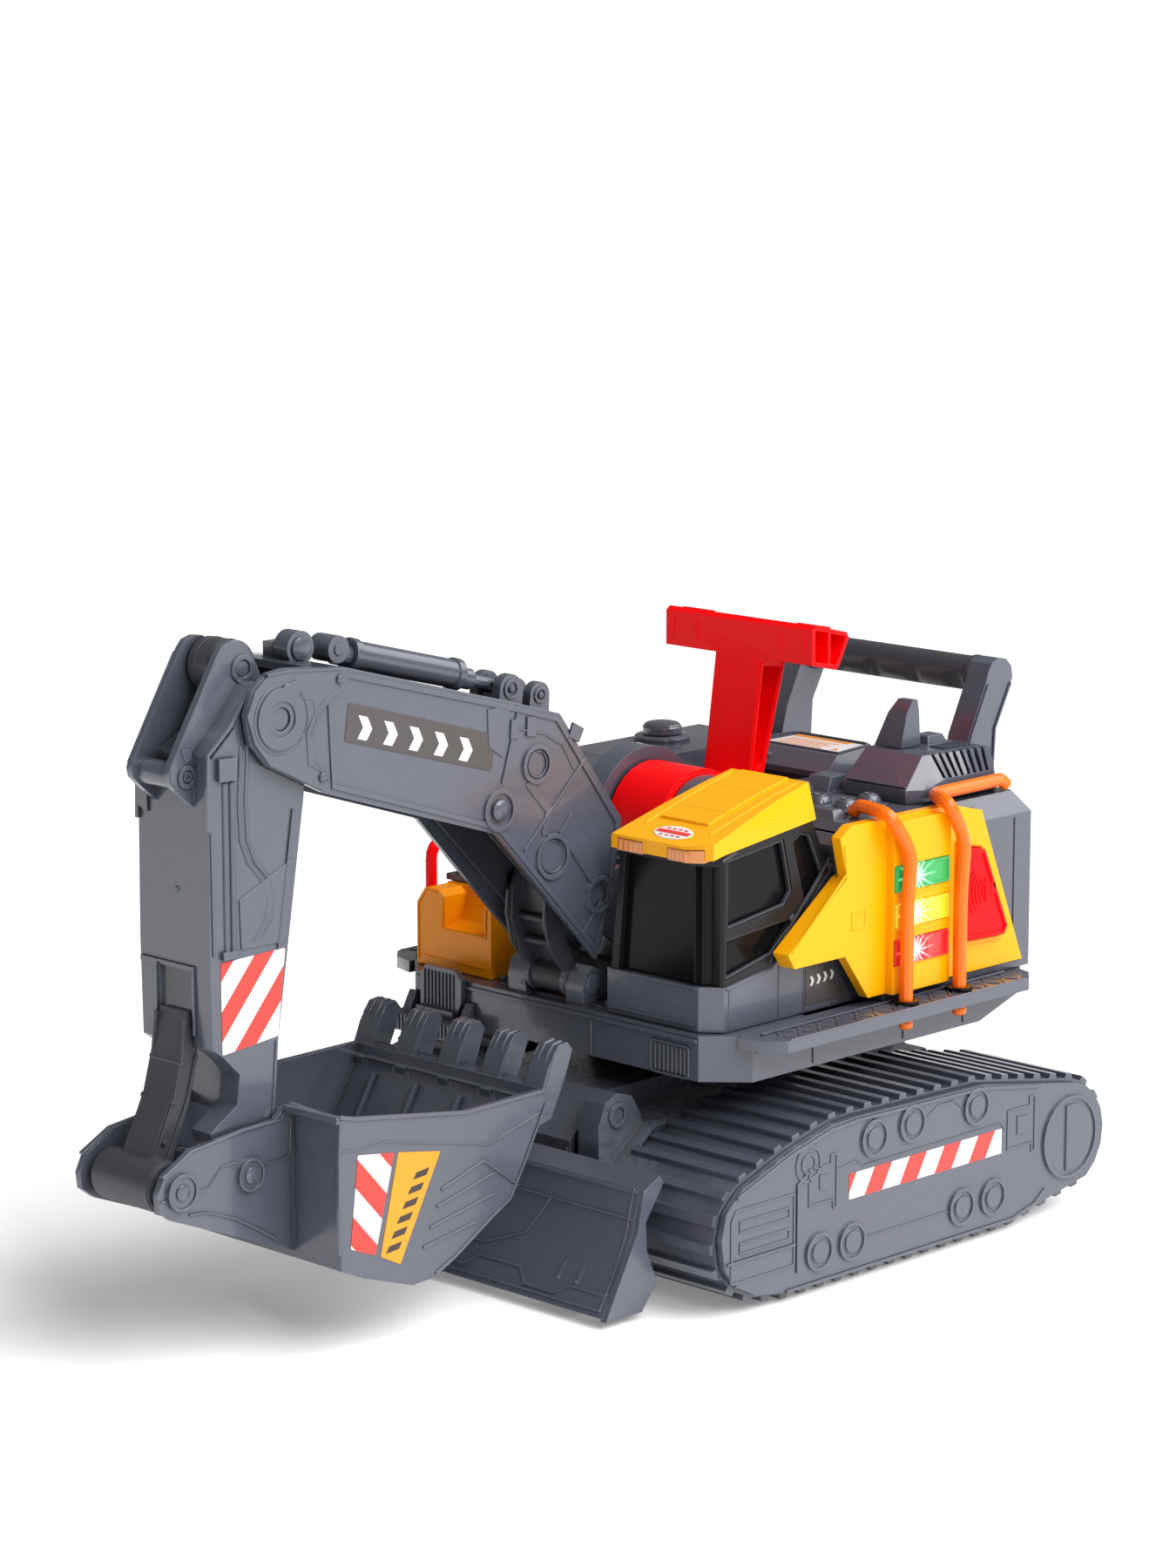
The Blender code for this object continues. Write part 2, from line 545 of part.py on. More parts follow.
def build_top():
    top = COVER_TOP + GAP
    seat_plan = [(-46.0, 84.0), (29.0, 84.0), (26.0, 100.0), (20.0, 134.0), (14.0, 139.0), (-40.0, 139.0),
                 (-46.0, 134.0)]
    seat = prism("Z", seat_plan, top, 263.0)
    cut(seat, prism("X", [(83.0, 253.0), (83.0, 264.0), (96.0, 264.0)], -50.0, 34.0))
    finish(seat, "seat_pad", "grey_plastic", (0, 0, 0))

    foot = [(62.0, 60.5), (110.0, 59.5), (116.8, 70.0), (117.8, 131.0), (62.0, 131.0)]
    lid = [(62.0, 80.6), (104.5, 80.6), (106.0, 84.0), (113.3, 131.0), (62.0, 131.0)]
    vent = loft("Z", [(top, foot), (258.0, foot), (275.0, lid)])
    for k in range(8):
        y = 86.0 + 5.4 * k
        x = 107.6 + 0.11 * (y - 84.0)
        cut(vent, prism("Y", [(x - 3.0, 269.0), (x - 3.0, 276.0), (x + 8.0, 276.0), (x + 8.0, 262.0),
                              (x + 2.4, 262.0)], y, y + 2.4))
    finish(vent, "vent_box", "grey_plastic", (0, 0, 0))

    stack = loft("Z", [(275.0 + GAP, [(62.6, 87.0), (83.0, 87.0), (84.0, 103.0), (64.0, 103.0)]),
                       (295.0, [(69.0, 91.5), (83.0, 91.5), (83.5, 102.2), (70.0, 102.2)]),
                       (302.5, [(71.5, 97.5), (82.5, 97.5), (82.5, 101.8), (72.0, 101.8)])])
    finish(stack, "exhaust_stack", "grey_plastic", (0, 0, 0))

    cap = turned("Z", (-88.0, 66.0), [(262.0 + GAP, 9.0), (266.0, 9.5), (266.2, 12.0), (270.0, 12.0),
                                      (272.0, 10.5)], 20)
    finish(cap, "filler_cap", "grey_plastic", (0, 0, 0))

    post_side = [(146.0, 256.0), (152.0, 274.0), (168.0, 306.0)]
    post_side += [(GRIP_Y + 12.0 * math.cos(a), GRIP_Z + 12.0 * math.sin(a))
                  for a in (2.9, 2.3, 1.7, 1.1, 0.5, -0.1)]
    post_side += [(176.0, 276.0), (174.0, 240.0), (174.0, 200.0), (147.0 + GAP, 196.0), (147.0 + GAP, 256.0)]
    for side, word in ((1, "left"), (-1, "right")):
        low, high = sorted((side * (GRIP_HALF + GAP), side * 80.0))
        post = prism("X", post_side[1:], low, high)
        finish(post, "handle_post_" + word, "grey_plastic", (0, 0, 0))
    grip = turned("X", (GRIP_Y, GRIP_Z), [(-GRIP_HALF, GRIP_R - 1.2), (-GRIP_HALF + 2.0, GRIP_R),
                                          (GRIP_HALF - 2.0, GRIP_R), (GRIP_HALF, GRIP_R - 1.2)], 24)
    for k in range(4):
        finger = cylinder("Z", (-44.0 + 32.0 * k, -GRIP_R - 17.6), 20.0, -16.0, 16.0, 24)
        finger.data.transform(Matrix.Rotation(math.radians(25.0), 4, "X"))
        finger.data.transform(Matrix.Translation(Vector((0, GRIP_Y, GRIP_Z)) * MM))
        cut(grip, finger)
    finish(grip, "handle_grip", "dark_plastic", (0, 0, 0))


def build_trim():
    foot = 20.0
    front = tube([(RAIL_X, foot, 136), (RAIL_X, foot, 200), (RAIL_X, foot + 3, 232), (144, 6, 257),
                  (118, 11, 257.5), (113, 12, 253.6)], RAIL_R, bend=9.0)
    finish(front, "guard_rail_front", "orange_plastic", (0, 0, 0))
    foot = 67.0
    rear = tube([(RAIL_X, foot, 136), (RAIL_X, foot, 200), (RAIL_X, foot + 3, 234), (145.5, 55, 257.5),
                 (124, 66, 257.0), (122.5, 130, 257.0), (122.5, 134.5, 253.2)], RAIL_R, bend=9.0)
    finish(rear, "guard_rail_rear", "orange_plastic", (0, 0, 0))

    front = [(-124.0, DECK_Z + GAP), (-62.0, DECK_Z + GAP), (-62.0, 186.0), (-67.0, 188.5), (-100.0, 188.5),
             (-106.0, 192.5), (-117.0, 192.5), (-124.0, 183.0)]
    locker = prism("Y", front, -104.0, -22.0 - GAP)
    cut(locker, box(-86.0, -60.0, -84.0, -20.0, 186.0, 195.0))
    join(locker, box(-118.0, -86.0, -85.0, -22.0 - GAP, 180.0, 193.0))
    scoop = [(-106.0, 171.0), (-106.0, 195.0), (-86.0, 195.0), (-87.0, 181.0), (-91.0, 174.0), (-97.0, 171.0)]
    cut(locker, prism("X", scoop, -101.0, -67.5))
    cut(locker, box(-119.0, -67.0, -84.0, -28.0, 140.0, 176.0))
    finish(locker, "tool_locker", "yellow_plastic", (0, 0, 0))
    lid = box(-122.0, -64.0, -82.0, -24.0, 193.0 + GAP, 197.0)
    finish(lid, "locker_lid", "dark_plastic", (0, 0, 0))
    hoop = tube([(-128.5, -88, 150), (-128.5, -88, 214), (-128.5, -44, 222), (-128.5, -44, 170)], 3.5,
                bend=9.0)
    finish(hoop, "guard_rail_right", "red_plastic", (0, 0, 0))

    step = box(-119.0, -60.0, -132.0, -120.0, 113.0, 123.0)
    for x in (-113.0, -66.0):
        web = [(-124.0, 116.0), (-124.0, 123.0), (-118.0, 134.0), (-116.0 - GAP, 134.0),
               (-116.0 - GAP, 114.0)]
        join(step, prism("X", web, x - 3.0, x + 3.0))
    pad = [(-104.0, 126.0), (-74.0, 126.0), (-70.0, 134.0), (-70.0, 147.0), (-76.0, 152.0), (-100.0, 152.0),
           (-104.0, 146.0)]
    join(step, prism("Y", pad, -120.5, -116.0 - GAP))
    join(step, box(-104.0, -74.0, -124.0, -118.0, 118.0, 128.0))
    finish(step, "boarding_step", "grey_plastic", (0, 0, 0))

    bracket = prism("X", [(-60.0 - GAP, 158.0), (-60.0 - GAP, 222.0), (-94.0, 220.0), (-104.0, 222.0),
                          (-113.0, 217.0), (-116.0, 208.0), (-112.0, 200.0), (-80.0, 176.0)], -26.0, 26.0)
    cut(bracket, box(-20.0, 20.0, -130.0, -66.0, 140.0, 240.0))
    bracket.data.transform(Matrix.Translation(Vector((ARM_X, 0, 0)) * MM))
    cut(bracket, cylinder("X", BOOM_PIN, 6.0 + GAP, -60.0, 40.0, 16))
    finish(bracket, "boom_bracket", "grey_plastic", (0, 0, 0))
    pin = cylinder("X", BOOM_PIN, 6.0, ARM_X - 32.0, ARM_X + 32.0, 16)
    finish(pin, "boom_pin", "grey_plastic", (0, 0, 0))
    pin = cylinder("X", LIFT_PIN, 4.0, ARM_X - 29.0, ARM_X + 29.0, 14)
    finish(pin, "lift_pin", "grey_plastic", (0, 0, 0))


def build_lever():
    x0, x1 = LEVER_X - 17.5, LEVER_X + 17.5
    hub = cylinder("X", LEVER_AXIS, LEVER_HUB_R, LEVER_X - 20.0, LEVER_X + 20.0, 28)
    post = [(20.0, 232.0), (36.0, 254.0), (46.0, 326.0), (68.0, 322.0), (49.0, 254.0), (24.0, 222.0)]
    join(hub, prism("X", post, x0, x1))
    for side in (-1, 1):
        low, high = sorted((LEVER_X + side * 3.0, LEVER_X + side * 20.0))
        pocket = [(39.5, 258.0), (49.0, 320.0), (64.0, 318.0), (48.0, 262.0)]
        cut(hub, prism("X", pocket, low, high))
    bar = [(46.0, 325.0), (46.0, 345.5), (49.0, 348.0), (76.0, 341.5), (78.0, 338.0), (69.0, 321.5),
           (66.0, 320.5)]
    join(hub, prism("X", bar, LEVER_X - 58.0, LEVER_X + 58.0))
    for side in (-1, 1):
        low, high = sorted((LEVER_X + side * 34.0, LEVER_X + side * 60.0))
        cut(hub, prism("X", grown(bar, -2.5), low, high))
        low, high = sorted((LEVER_X + side * 33.0, LEVER_X + side * 57.8))
        join(hub, prism("X", [(60.0, 322.0), (62.0, 322.0), (62.0, 346.0), (60.0, 346.0)], low, high))
    cut(hub, cylinder("X", LEVER_AXIS, 5.0 + GAP, -60.0, 60.0, 14))
    finish(hub, "lever", "red_plastic", (LEVER_X, *LEVER_AXIS))
    pin = cylinder("X", LEVER_AXIS, 5.0, -45.0, 26.0, 14)
    finish(pin, "lever_pin", "grey_plastic", (0, 0, 0))


# ---------------------------------------------------------------- digging arm, about its own centre plane
BOOM = [(-367.0, 346.0), (-362.0, 359.0), (-352.0, 366.5), (-339.0, 368.0), (-299.0, 364.0), (-175.0, 330.0),
        (-138.0, 319.0), (-89.0, 253.0), (-95.0, 219.0), (-96.0, 206.0), (-109.0, 175.0), (-187.0, 258.0),
        (-314.0, 299.0), (-352.0, 318.0), (-364.0, 331.0)]


def local(y, z):
    """A machine-frame point in the arm's own drawing frame."""
    return (y - ARM_SHIFT[0], z - ARM_SHIFT[1])


def build_boom():
    boom = prism("X", BOOM, -BOOM_HALF, BOOM_HALF)
    hollow = [(-385.0, 330.0), (-385.0, 380.0), (-322.0, 380.0), (-322.0, 362.0), (-296.0, 356.0),
              (-176.0, 325.0), (-141.0, 314.5), (-93.0, 250.0), (-86.0, 240.0), (-80.0, 160.0),
              (-110.0, 160.0), (-190.0, 250.0), (-314.0, 290.0), (-352.0, 309.0)]
    cut(boom, prism("X", hollow, -29.8, 29.8))
    cut(boom, cylinder("X", local(*BOOM_PIN), 6.0 + GAP, -50.0, 50.0, 18))
    cut(boom, cylinder("X", local(*STICK_PIN), 6.0 + GAP, -50.0, 50.0, 18))
    rings = (((-156.1, 293.0), 11.3), ((-184.9, 271.2), 12.0), ((-144.0, 239.3), 13.0),
             (local(*BOOM_PIN), 11.0))
    for side in (-1, 1):
        low, high = sorted((side * (BOOM_HALF - 1.0), side * (BOOM_HALF + 1.5)))
        for centre, r in rings:
            ring = cylinder("X", centre, r, low, high, 20)
            cut(ring, cylinder("X", centre, r - 2.6, side * BOOM_HALF - 3, side * BOOM_HALF + 3, 20))
            join(boom, ring)
        ear = [(-362.0, 331.0), (-367.0, 346.0), (-361.0, 359.0), (-351.0, 366.5), (-339.0, 367.5),
               (-300.0, 364.0), (-296.5, 358.0), (-300.5, 352.5), (-319.0, 341.0), (-323.0, 330.0),
               (-322.0, 316.0), (-310.5, 306.0), (-314.0, 299.5), (-321.0, 303.0), (-352.0, 318.5)]
        cheek = prism("X", ear, *sorted((side * 32.0, side * 35.0)))
        cut(cheek, cylinder("X", local(*STICK_PIN), 6.0 + GAP, -50.0, 50.0, 18))
        join(boom, cheek)
    for y, z, r in ((-155.0, 332.0, 8.5), (-132.5, 326.0, 7.5)):
        for x in (-9.0, 9.0):
            join(boom, cylinder("X", (y, z), r, x - 3.0, x + 3.0, 18))
            lug = [(y - r, z), (y + r, z), (y + r - 1.0, 303.0), (y - r - 2.0, 312.0)]
            join(boom, prism("X", lug, x - 3.0, x + 3.0))
    join(boom, cylinder("X", (-303.5, 371.0), 9.5, -6.0, 5.0, 20))
    join(boom, box(-20.0, -12.0, -308.0, -298.0, 360.0, 373.0))
    finish(boom, "boom", "grey_plastic", (0, *local(*BOOM_PIN)), arm=True)

    a, b = Vector((0, -276.0, 364.8)), Vector((0, -176.0, 338.9))
    barrel = tube([a, a.lerp(b, 0.5), b], 6.0, 14, 1.0)
    join(barrel, tube([b.lerp(a, 0.1), Vector((0, -155.0, 333.0))], 3.6, 10, 1.0))
    join(barrel, cylinder("X", (-155.0, 333.0), 5.0, -5.6, 5.6, 16))
    join(barrel, cylinder("X", (-279.0, 368.0), 7.5, -8.0, 8.0, 18))
    finish(barrel, "arm_cylinder", "grey_plastic", (0, *local(*BOOM_PIN)), arm=True)
    pin = cylinder("X", local(*STICK_PIN), 6.0, -34.0, 34.0, 16)
    finish(pin, "stick_pin", "grey_plastic", (0, *local(*BOOM_PIN)), arm=True)


def build_lift_link():
    """The curved link from the front deck up under the boom."""
    axis = local(*LIFT_PIN)
    centre_line = [(-107.0, 160.0), (-119.0, 178.0), (-125.0, 196.0), (-125.0, 212.0), (-121.0, 222.0)]
    width = [6.5, 12.0, 13.0, 11.0, 5.0]
    left = []
    right = []
    for i, (y, z) in enumerate(centre_line):
        ahead = Vector(centre_line[min(i + 1, 4)]) - Vector(centre_line[max(i - 1, 0)])
        normal = Vector((ahead.y, -ahead.x)).normalized() * width[i] * 0.5
        left.append((y - normal.x, z - normal.y))
        right.append((y + normal.x, z + normal.y))
    outline = left + right[::-1]
    link = prism("X", outline, -15.0, 15.0)
    pocket = [(a - 5.5, b) for a, b in grown(outline, 2.0)]
    cut(link, prism("X", pocket, -12.0, 12.0))
    join(link, cylinder("X", axis, 9.0, -15.0, 15.0, 18))
    cut(link, cylinder("X", axis, 4.0 + GAP, -20.0, 20.0, 14))
    finish(link, "lift_link", "dark_plastic", (0, *axis), arm=True)


STICK = [(-388.0, 328.0), (-389.0, 225.0), (-388.0, 172.0), (-381.0, 167.0), (-370.0, 156.0),
         (-372.0, 140.0), (-391.0, 128.0), (-385.0, 108.0), (-377.0, 95.0), (-369.0, 91.0),
         (-360.0, 94.0), (-350.0, 106.0), (-346.0, 128.0), (-343.0, 171.0), (-323.0, 298.0),
         (-322.0, 330.0), (-326.0, 352.0), (-340.0, 358.0), (-356.0, 362.0), (-374.0, 340.0)]


def build_stick():
    half = STICK_HALF
    stick = prism("X", STICK, -half, half)
    hollow = [(-384.0, 322.0), (-385.0, 180.0), (-379.0, 172.0), (-364.0, 160.0), (-366.0, 140.0),
              (-380.0, 120.0), (-384.0, 80.0), (-330.0, 80.0), (-340.0, 128.0), (-335.0, 171.0),
              (-315.0, 298.0), (-315.0, 322.0)]
    cut(stick, prism("X", hollow, -half + 3.2, half - 3.2))
    cut(stick, box(-13.0, 13.0, -400.0, -370.0, 80.0, 212.0))
    slot = [(-395.0, 326.5), (-384.0, 326.5), (-362.0, 340.0), (-352.0, 345.0), (-336.0, 350.0),
            (-318.0, 352.0), (-318.0, 400.0), (-395.0, 400.0)]
    cut(stick, prism("X", slot, -HORN_GAP, HORN_GAP))
    horn = [(-371.0, 377.0), (-367.5, 381.0), (-361.8, 382.7), (-356.0, 382.2), (-351.2, 379.6),
            (-343.7, 367.3), (-338.0, 352.0), (-352.0, 330.0), (-375.0, 305.0), (-387.1, 298.0),
            (-399.7, 308.6), (-404.6, 313.5), (-405.6, 318.0), (-403.8, 323.0)]
    for side in (-1, 1):
        low, high = sorted((side * HORN_GAP, side * (HORN_GAP + 4.0)))
        join(stick, prism("X", horn, low, high))
    join(stick, cylinder("X", (-395.0, 315.8), 7.0, -HORN_GAP - 1.0, HORN_GAP + 1.0, 18))
    cut(stick, cylinder("X", ROLLER, 3.5 + GAP, -40.0, 40.0, 14))
    pin = local(*STICK_PIN)
    join(stick, cylinder("X", pin, 12.0, -half - 1.0, half + 1.0, 20))
    cut(stick, cylinder("X", pin, 6.0 + GAP, -40.0, 40.0, 16))
    cut(stick, cylinder("X", local(*BUCKET_PIN), 4.0 + GAP, -40.0, 40.0, 14))
    pivot = (0, *pin)
    finish(stick, "stick", "grey_plastic", pivot, arm=True)
    rim = HORN_GAP - GAP
    roller = turned("X", ROLLER, [(-rim, 12.5), (2.0 - rim, 14.2), (rim - 2.0, 14.2), (rim, 12.5)], 28)
    join(roller, cylinder("X", ROLLER, 3.5, -16.0, 16.0, 14))
    finish(roller, "stick_roller", "dark_plastic", pivot, arm=True)


def build_bucket():
    """Wide tub behind, narrow ears in front that straddle the stick."""
    inner_half = STICK_HALF + 1.5
    ear_half = inner_half + 4.0
    ear = [(-422.0, 88.6), (-430.5, 95.0), (-431.5, 104.0), (-427.0, 113.0), (-408.0, 124.0),
           (-350.0, 129.0), (-345.0, 134.0), (-336.0, 134.5), (-336.0, 54.0)]
    tub_side = [(-190.5, 124.0), (-193.5, 113.5), (-210.0, 85.5), (-221.0, 66.5), (-235.0, 58.5),
                (-260.4, 43.0), (-276.0, 35.8), (-292.4, 34.7), (-327.4, 46.3), (-346.0, 54.5),
                (-346.0, 135.5), (-333.0, 134.8), (-253.0, 122.8)]
    wide = BUCKET_HALF
    plan = [(-wide, -180.0), (wide, -180.0), (wide, -343.5), (ear_half, -338.5), (-ear_half, -338.5),
            (-wide, -343.5)]
    tub = prism("X", tub_side, -wide, wide)
    keep = prism("Z", plan, 20.0, 150.0)
    boolean(tub, [keep], "INTERSECT")
    core = [(-190.5, 145.0), (-197.2, 113.0), (-213.5, 87.0), (-223.9, 69.6), (-237.0, 62.0), (-262.0, 46.6),
            (-277.0, 39.2), (-292.0, 38.1), (-326.2, 49.5), (-341.5, 56.3), (-341.5, 145.0)]
    hole = prism("X", core, -wide + 3.2, wide - 3.2)
    inner_plan = [(-wide + 3.2, -170.0), (wide - 3.2, -170.0), (wide - 3.2, -340.0),
                  (ear_half - 1.0, -335.2), (-ear_half + 1.0, -335.2), (-wide + 3.2, -340.0)]
    limit = prism("Z", inner_plan, 20.0, 160.0)
    boolean(hole, [limit], "INTERSECT")
    cut(tub, hole)
    for side in (-1, 1):
        low, high = sorted((side * inner_half, side * ear_half))
        join(tub, prism("X", ear, low, high))
        boss = sorted((side * (ear_half - 1.0), side * (ear_half + 1.5)))
        for centre, r in ((local(*BUCKET_PIN), 9.0), (local(*LINK_PIN), 10.0)):
            join(tub, cylinder("X", centre, r, boss[0], boss[1], 18))
    floor = [(-338.0, 57.0), (-338.0, 60.5), (-395.0, 85.3), (-395.0, 80.8)]
    join(tub, prism("X", floor, -ear_half + 1.0, ear_half - 1.0))
    for k in range(-2, 3):
        x = k * 34.3
        tooth = [(-201.0, 103.0), (-194.5, 124.0), (-190.0, 135.0), (-182.5, 146.0), (-175.5, 146.8),
                 (-171.5, 142.0), (-177.0, 128.0), (-188.0, 106.0), (-192.0, 105.0)]
        join(tub, prism("X", tooth, x - 7.2, x + 7.2))
    cut(tub, box(-29.2, 29.2, -352.0, -330.0, 96.0, 150.0))
    cut(tub, cylinder("X", local(*BUCKET_PIN), 4.0 + GAP, -33.0, 33.0, 14))
    cut(tub, cylinder("X", local(*LINK_PIN), 3.5 + GAP, -33.0, 33.0, 14))
    pivot = (0, *local(*BUCKET_PIN))
    finish(tub, "bucket", "grey_plastic", pivot, arm=True)
    pin = cylinder("X", local(*BUCKET_PIN), 4.0, -32.0, 32.0, 14)
    finish(pin, "bucket_pin", "grey_plastic", (0, *local(*STICK_PIN)), arm=True)
    pin = cylinder("X", local(*LINK_PIN), 3.5, -32.0, 32.0, 14)
    finish(pin, "bucket_link_pin", "grey_plastic", pivot, arm=True)


def build_bucket_link():
    line = [(-416.0, 103.0), (-407.0, 122.0), (-396.0, 145.0), (-390.0, 168.0), (-387.0, 190.0)]
    width = [14.0, 15.0, 13.0, 11.0, 7.0]
    left = []
    right = []
    for i, (y, z) in enumerate(line):
        ahead = Vector(line[min(i + 1, 4)]) - Vector(line[max(i - 1, 0)])
        normal = Vector((ahead.y, -ahead.x)).normalized() * width[i] * 0.5
        left.append((y - normal.x, z - normal.y))
        right.append((y + normal.x, z + normal.y))
    link = prism("X", left + right[::-1], -11.0, 11.0)
    axis = local(*LINK_PIN)
    join(link, cylinder("X", axis, 14.0, -22.0, 22.0, 22))
    cut(link, cylinder("X", axis, 3.5 + GAP, -30.0, 30.0, 14))
    finish(link, "bucket_link", "dark_plastic", (0, *axis), arm=True)


build_undercarriage()
build_house_base()
build_cover()
build_panels()
build_cab()
build_top()
build_trim()
build_lever()
build_boom()
build_lift_link()
build_stick()
build_bucket()
build_bucket_link()
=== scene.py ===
import json
import math

import bmesh
import bpy
from mathutils import Matrix, Vector


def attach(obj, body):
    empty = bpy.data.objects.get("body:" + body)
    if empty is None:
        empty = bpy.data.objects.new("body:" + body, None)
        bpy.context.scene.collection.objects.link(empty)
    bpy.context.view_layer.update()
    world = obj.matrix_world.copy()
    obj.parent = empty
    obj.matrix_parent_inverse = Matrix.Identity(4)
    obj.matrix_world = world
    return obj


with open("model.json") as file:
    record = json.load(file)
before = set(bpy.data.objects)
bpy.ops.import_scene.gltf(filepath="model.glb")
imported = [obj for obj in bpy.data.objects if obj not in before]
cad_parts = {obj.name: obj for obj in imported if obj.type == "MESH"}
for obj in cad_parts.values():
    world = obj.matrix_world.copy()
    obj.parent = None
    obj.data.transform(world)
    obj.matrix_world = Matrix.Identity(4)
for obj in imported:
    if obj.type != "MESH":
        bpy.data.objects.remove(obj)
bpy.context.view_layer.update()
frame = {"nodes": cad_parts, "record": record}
MM = 1000
SIDES = (1, -1)
SLEW_Y = 118.3
ARM = (-8.0, 3.0, -2.0)
ARM_BODIES = ("boom", "stick", "bucket", "bucket_link")


def M(x, y, z):
    """A point of the machine's frame, in millimetres from the slew axis."""
    return Vector((x, y + SLEW_Y, z)) / MM


def A(x, y, z):
    """A point of the digging arm's own frame."""
    return Vector((x + ARM[0], y + ARM[1] + SLEW_Y, z + ARM[2])) / MM


# ------------------------------------------------------------------ materials
def shade(rgb, scale=1.0):
    return tuple(min(1.0, c * scale) for c in rgb) + (1,)


class Look:
    """A Principled material with short ways to add and join nodes."""

    def __init__(self, name):
        self.made = bpy.data.materials.new(name)
        self.made.use_nodes = True
        self.tree = self.made.node_tree
        self.shader = self.tree.nodes["Principled BSDF"]
        self.place = self.add("TexCoord").outputs["Object"]

    def feed(self, target, values):
        """Joins outputs to the named inputs, or sets the inputs' own values."""
        for key, value in values.items():
            if isinstance(value, bpy.types.NodeSocket):
                self.tree.links.new(value, target.inputs[key])
            else:
                target.inputs[key].default_value = value

    def add(self, kind, values=None, **settings):
        made = self.tree.nodes.new("ShaderNode" + kind)
        for key, value in settings.items():
            setattr(made, key, value)
        self.feed(made, values or {})
        return made

    def noise(self, scale, detail, rough=0.5):
        values = {"Vector": self.place, "Scale": scale, "Detail": detail, "Roughness": rough}
        return self.add("TexNoise", values).outputs

    def ramp(self, value, start, end, low=0.0, high=1.0):
        values = {"Value": value, "From Min": start, "From Max": end, "To Min": low, "To Max": high}
        return self.add("MapRange", values).outputs["Result"]

    def mix(self, factor, low, high, **settings):
        values = {"Factor": factor, "A": low, "B": high}
        return self.add("Mix", values, data_type="RGBA", **settings).outputs["Result"]

    def calc(self, operation, *values, **settings):
        return self.add("Math", dict(enumerate(values)), operation=operation, **settings).outputs["Value"]

    def vector(self, operation, *values):
        return self.add("VectorMath", dict(enumerate(values)), operation=operation).outputs

    def round_edge(self, radius):
        return self.add("Bevel", {"Radius": radius}, samples=4).outputs["Normal"]

    def done(self, height, strength, distance, normal, values):
        bump = {"Height": height, "Strength": strength, "Distance": distance}
        if normal:
            bump["Normal"] = normal
        values["Normal"] = self.add("Bump", bump).outputs["Normal"]
        self.feed(self.shader, values)
        return self.made


def plastic(name, rgb, rough=0.35, edge=0.35, vary=0.06, grain=0.15, coat=0.0, edge_wear_and_highlight=None, shine=0.5,
            painted_crevice_shade=0.0):
    """Moulded plastic: slight colour and gloss variation, a fine spark grain, softened edges painted
    lighter, partly as wear and partly as a painted highlight, and painted shade darkening the crevices when
    asked.
    """
    look = Look(name)
    tint = look.mix(look.noise(22.0, 4.0, 0.6)["Fac"], shade(rgb, 1 - vary), shade(rgb, 1 + vary))
    soft = look.round_edge(0.0007)
    flat = look.add("NewGeometry").outputs["Normal"]
    corner = look.ramp(look.vector("DOT_PRODUCT", soft, flat)["Value"], 0.995, 0.80)
    # edges are painted lighter in the colour: partly wear, partly a painted highlight where rounded edges
    # catch the light
    worn_and_highlit_edge = edge_wear_and_highlight or tuple(c * 1.7 + 0.03 for c in rgb)
    colour = look.mix(look.calc("MULTIPLY", corner, edge), tint, shade(worn_and_highlit_edge))
    # painted shade: the colour darkens in crevices, recesses and gaps between parts, found by ambient
    # occlusion
    if painted_crevice_shade:
        crevice_shade_mask = look.add("AmbientOcclusion", {"Normal": soft, "Distance": 0.009}, samples=4).outputs["AO"]
        colour = look.mix(look.ramp(crevice_shade_mask, 0.25, 0.85, painted_crevice_shade, 0.0), colour, shade(rgb, 0.12))
    gloss = look.ramp(look.noise(70.0, 6.0, 0.65)["Fac"], 0.0, 1.0, rough - 0.06, rough + 0.08)
    values = {"Base Color": colour, "Roughness": gloss, "Specular IOR Level": shine}
    if coat:
        values.update({"Coat Weight": coat, "Coat Roughness": 0.09})
    return look.done(look.noise(1400.0, 2.0)["Fac"], grain, 0.00004, soft, values)


def lens(name, rgb, glow, centre):
    """A lit lamp lens with upright ribs, hottest where the bulb is and with rays round it."""
    look = Look(name)
    away = look.vector("SUBTRACT", look.place, centre)["Vector"]
    split = look.add("SeparateXYZ", {"Vector": away}).outputs
    length = look.vector("LENGTH", away)["Value"]
    core = look.calc("POWER", look.ramp(length, 0.012, 0.0), 2.6)
    turns = look.calc("MULTIPLY", look.calc("ARCTAN2", split["Z"], split["Y"]), 14.0)
    ray = look.ramp(look.calc("COSINE", turns), 0.45, 1.0)
    beam = look.calc("MULTIPLY", ray, look.ramp(length, 0.018, 0.002))
    heat = look.calc("ADD", core, beam, use_clamp=True)
    ribs = look.add("TexWave", {"Vector": look.place, "Scale": 190.0}, bands_direction="Y").outputs["Fac"]
    values = {"Emission Color": look.mix(heat, shade(glow), shade((1, 1, 1))),
              "Emission Strength": look.ramp(heat, 0.0, 1.0, 0.18, 2.2),
              "Base Color": look.mix(ribs, shade(rgb, 0.75), shade(rgb)),
              "Roughness": 0.12, "Coat Weight": 0.6, "Coat Roughness": 0.04}
    return look.done(ribs, 0.25, 0.0003, look.round_edge(0.0008), values)


def metal(name, rgb, rough):
    """Drawn steel with fine scratches."""
    look = Look(name)
    scratches = look.noise(300.0, 5.0)["Fac"]
    gloss = look.ramp(scratches, 0.0, 1.0, rough - 0.08, rough + 0.12)
    look.feed(look.shader, {"Roughness": gloss, "Base Color": look.mix(scratches, shade(rgb, 0.85),
                                                                       shade(rgb)),
                            "Metallic": 1.0})
    return look.made


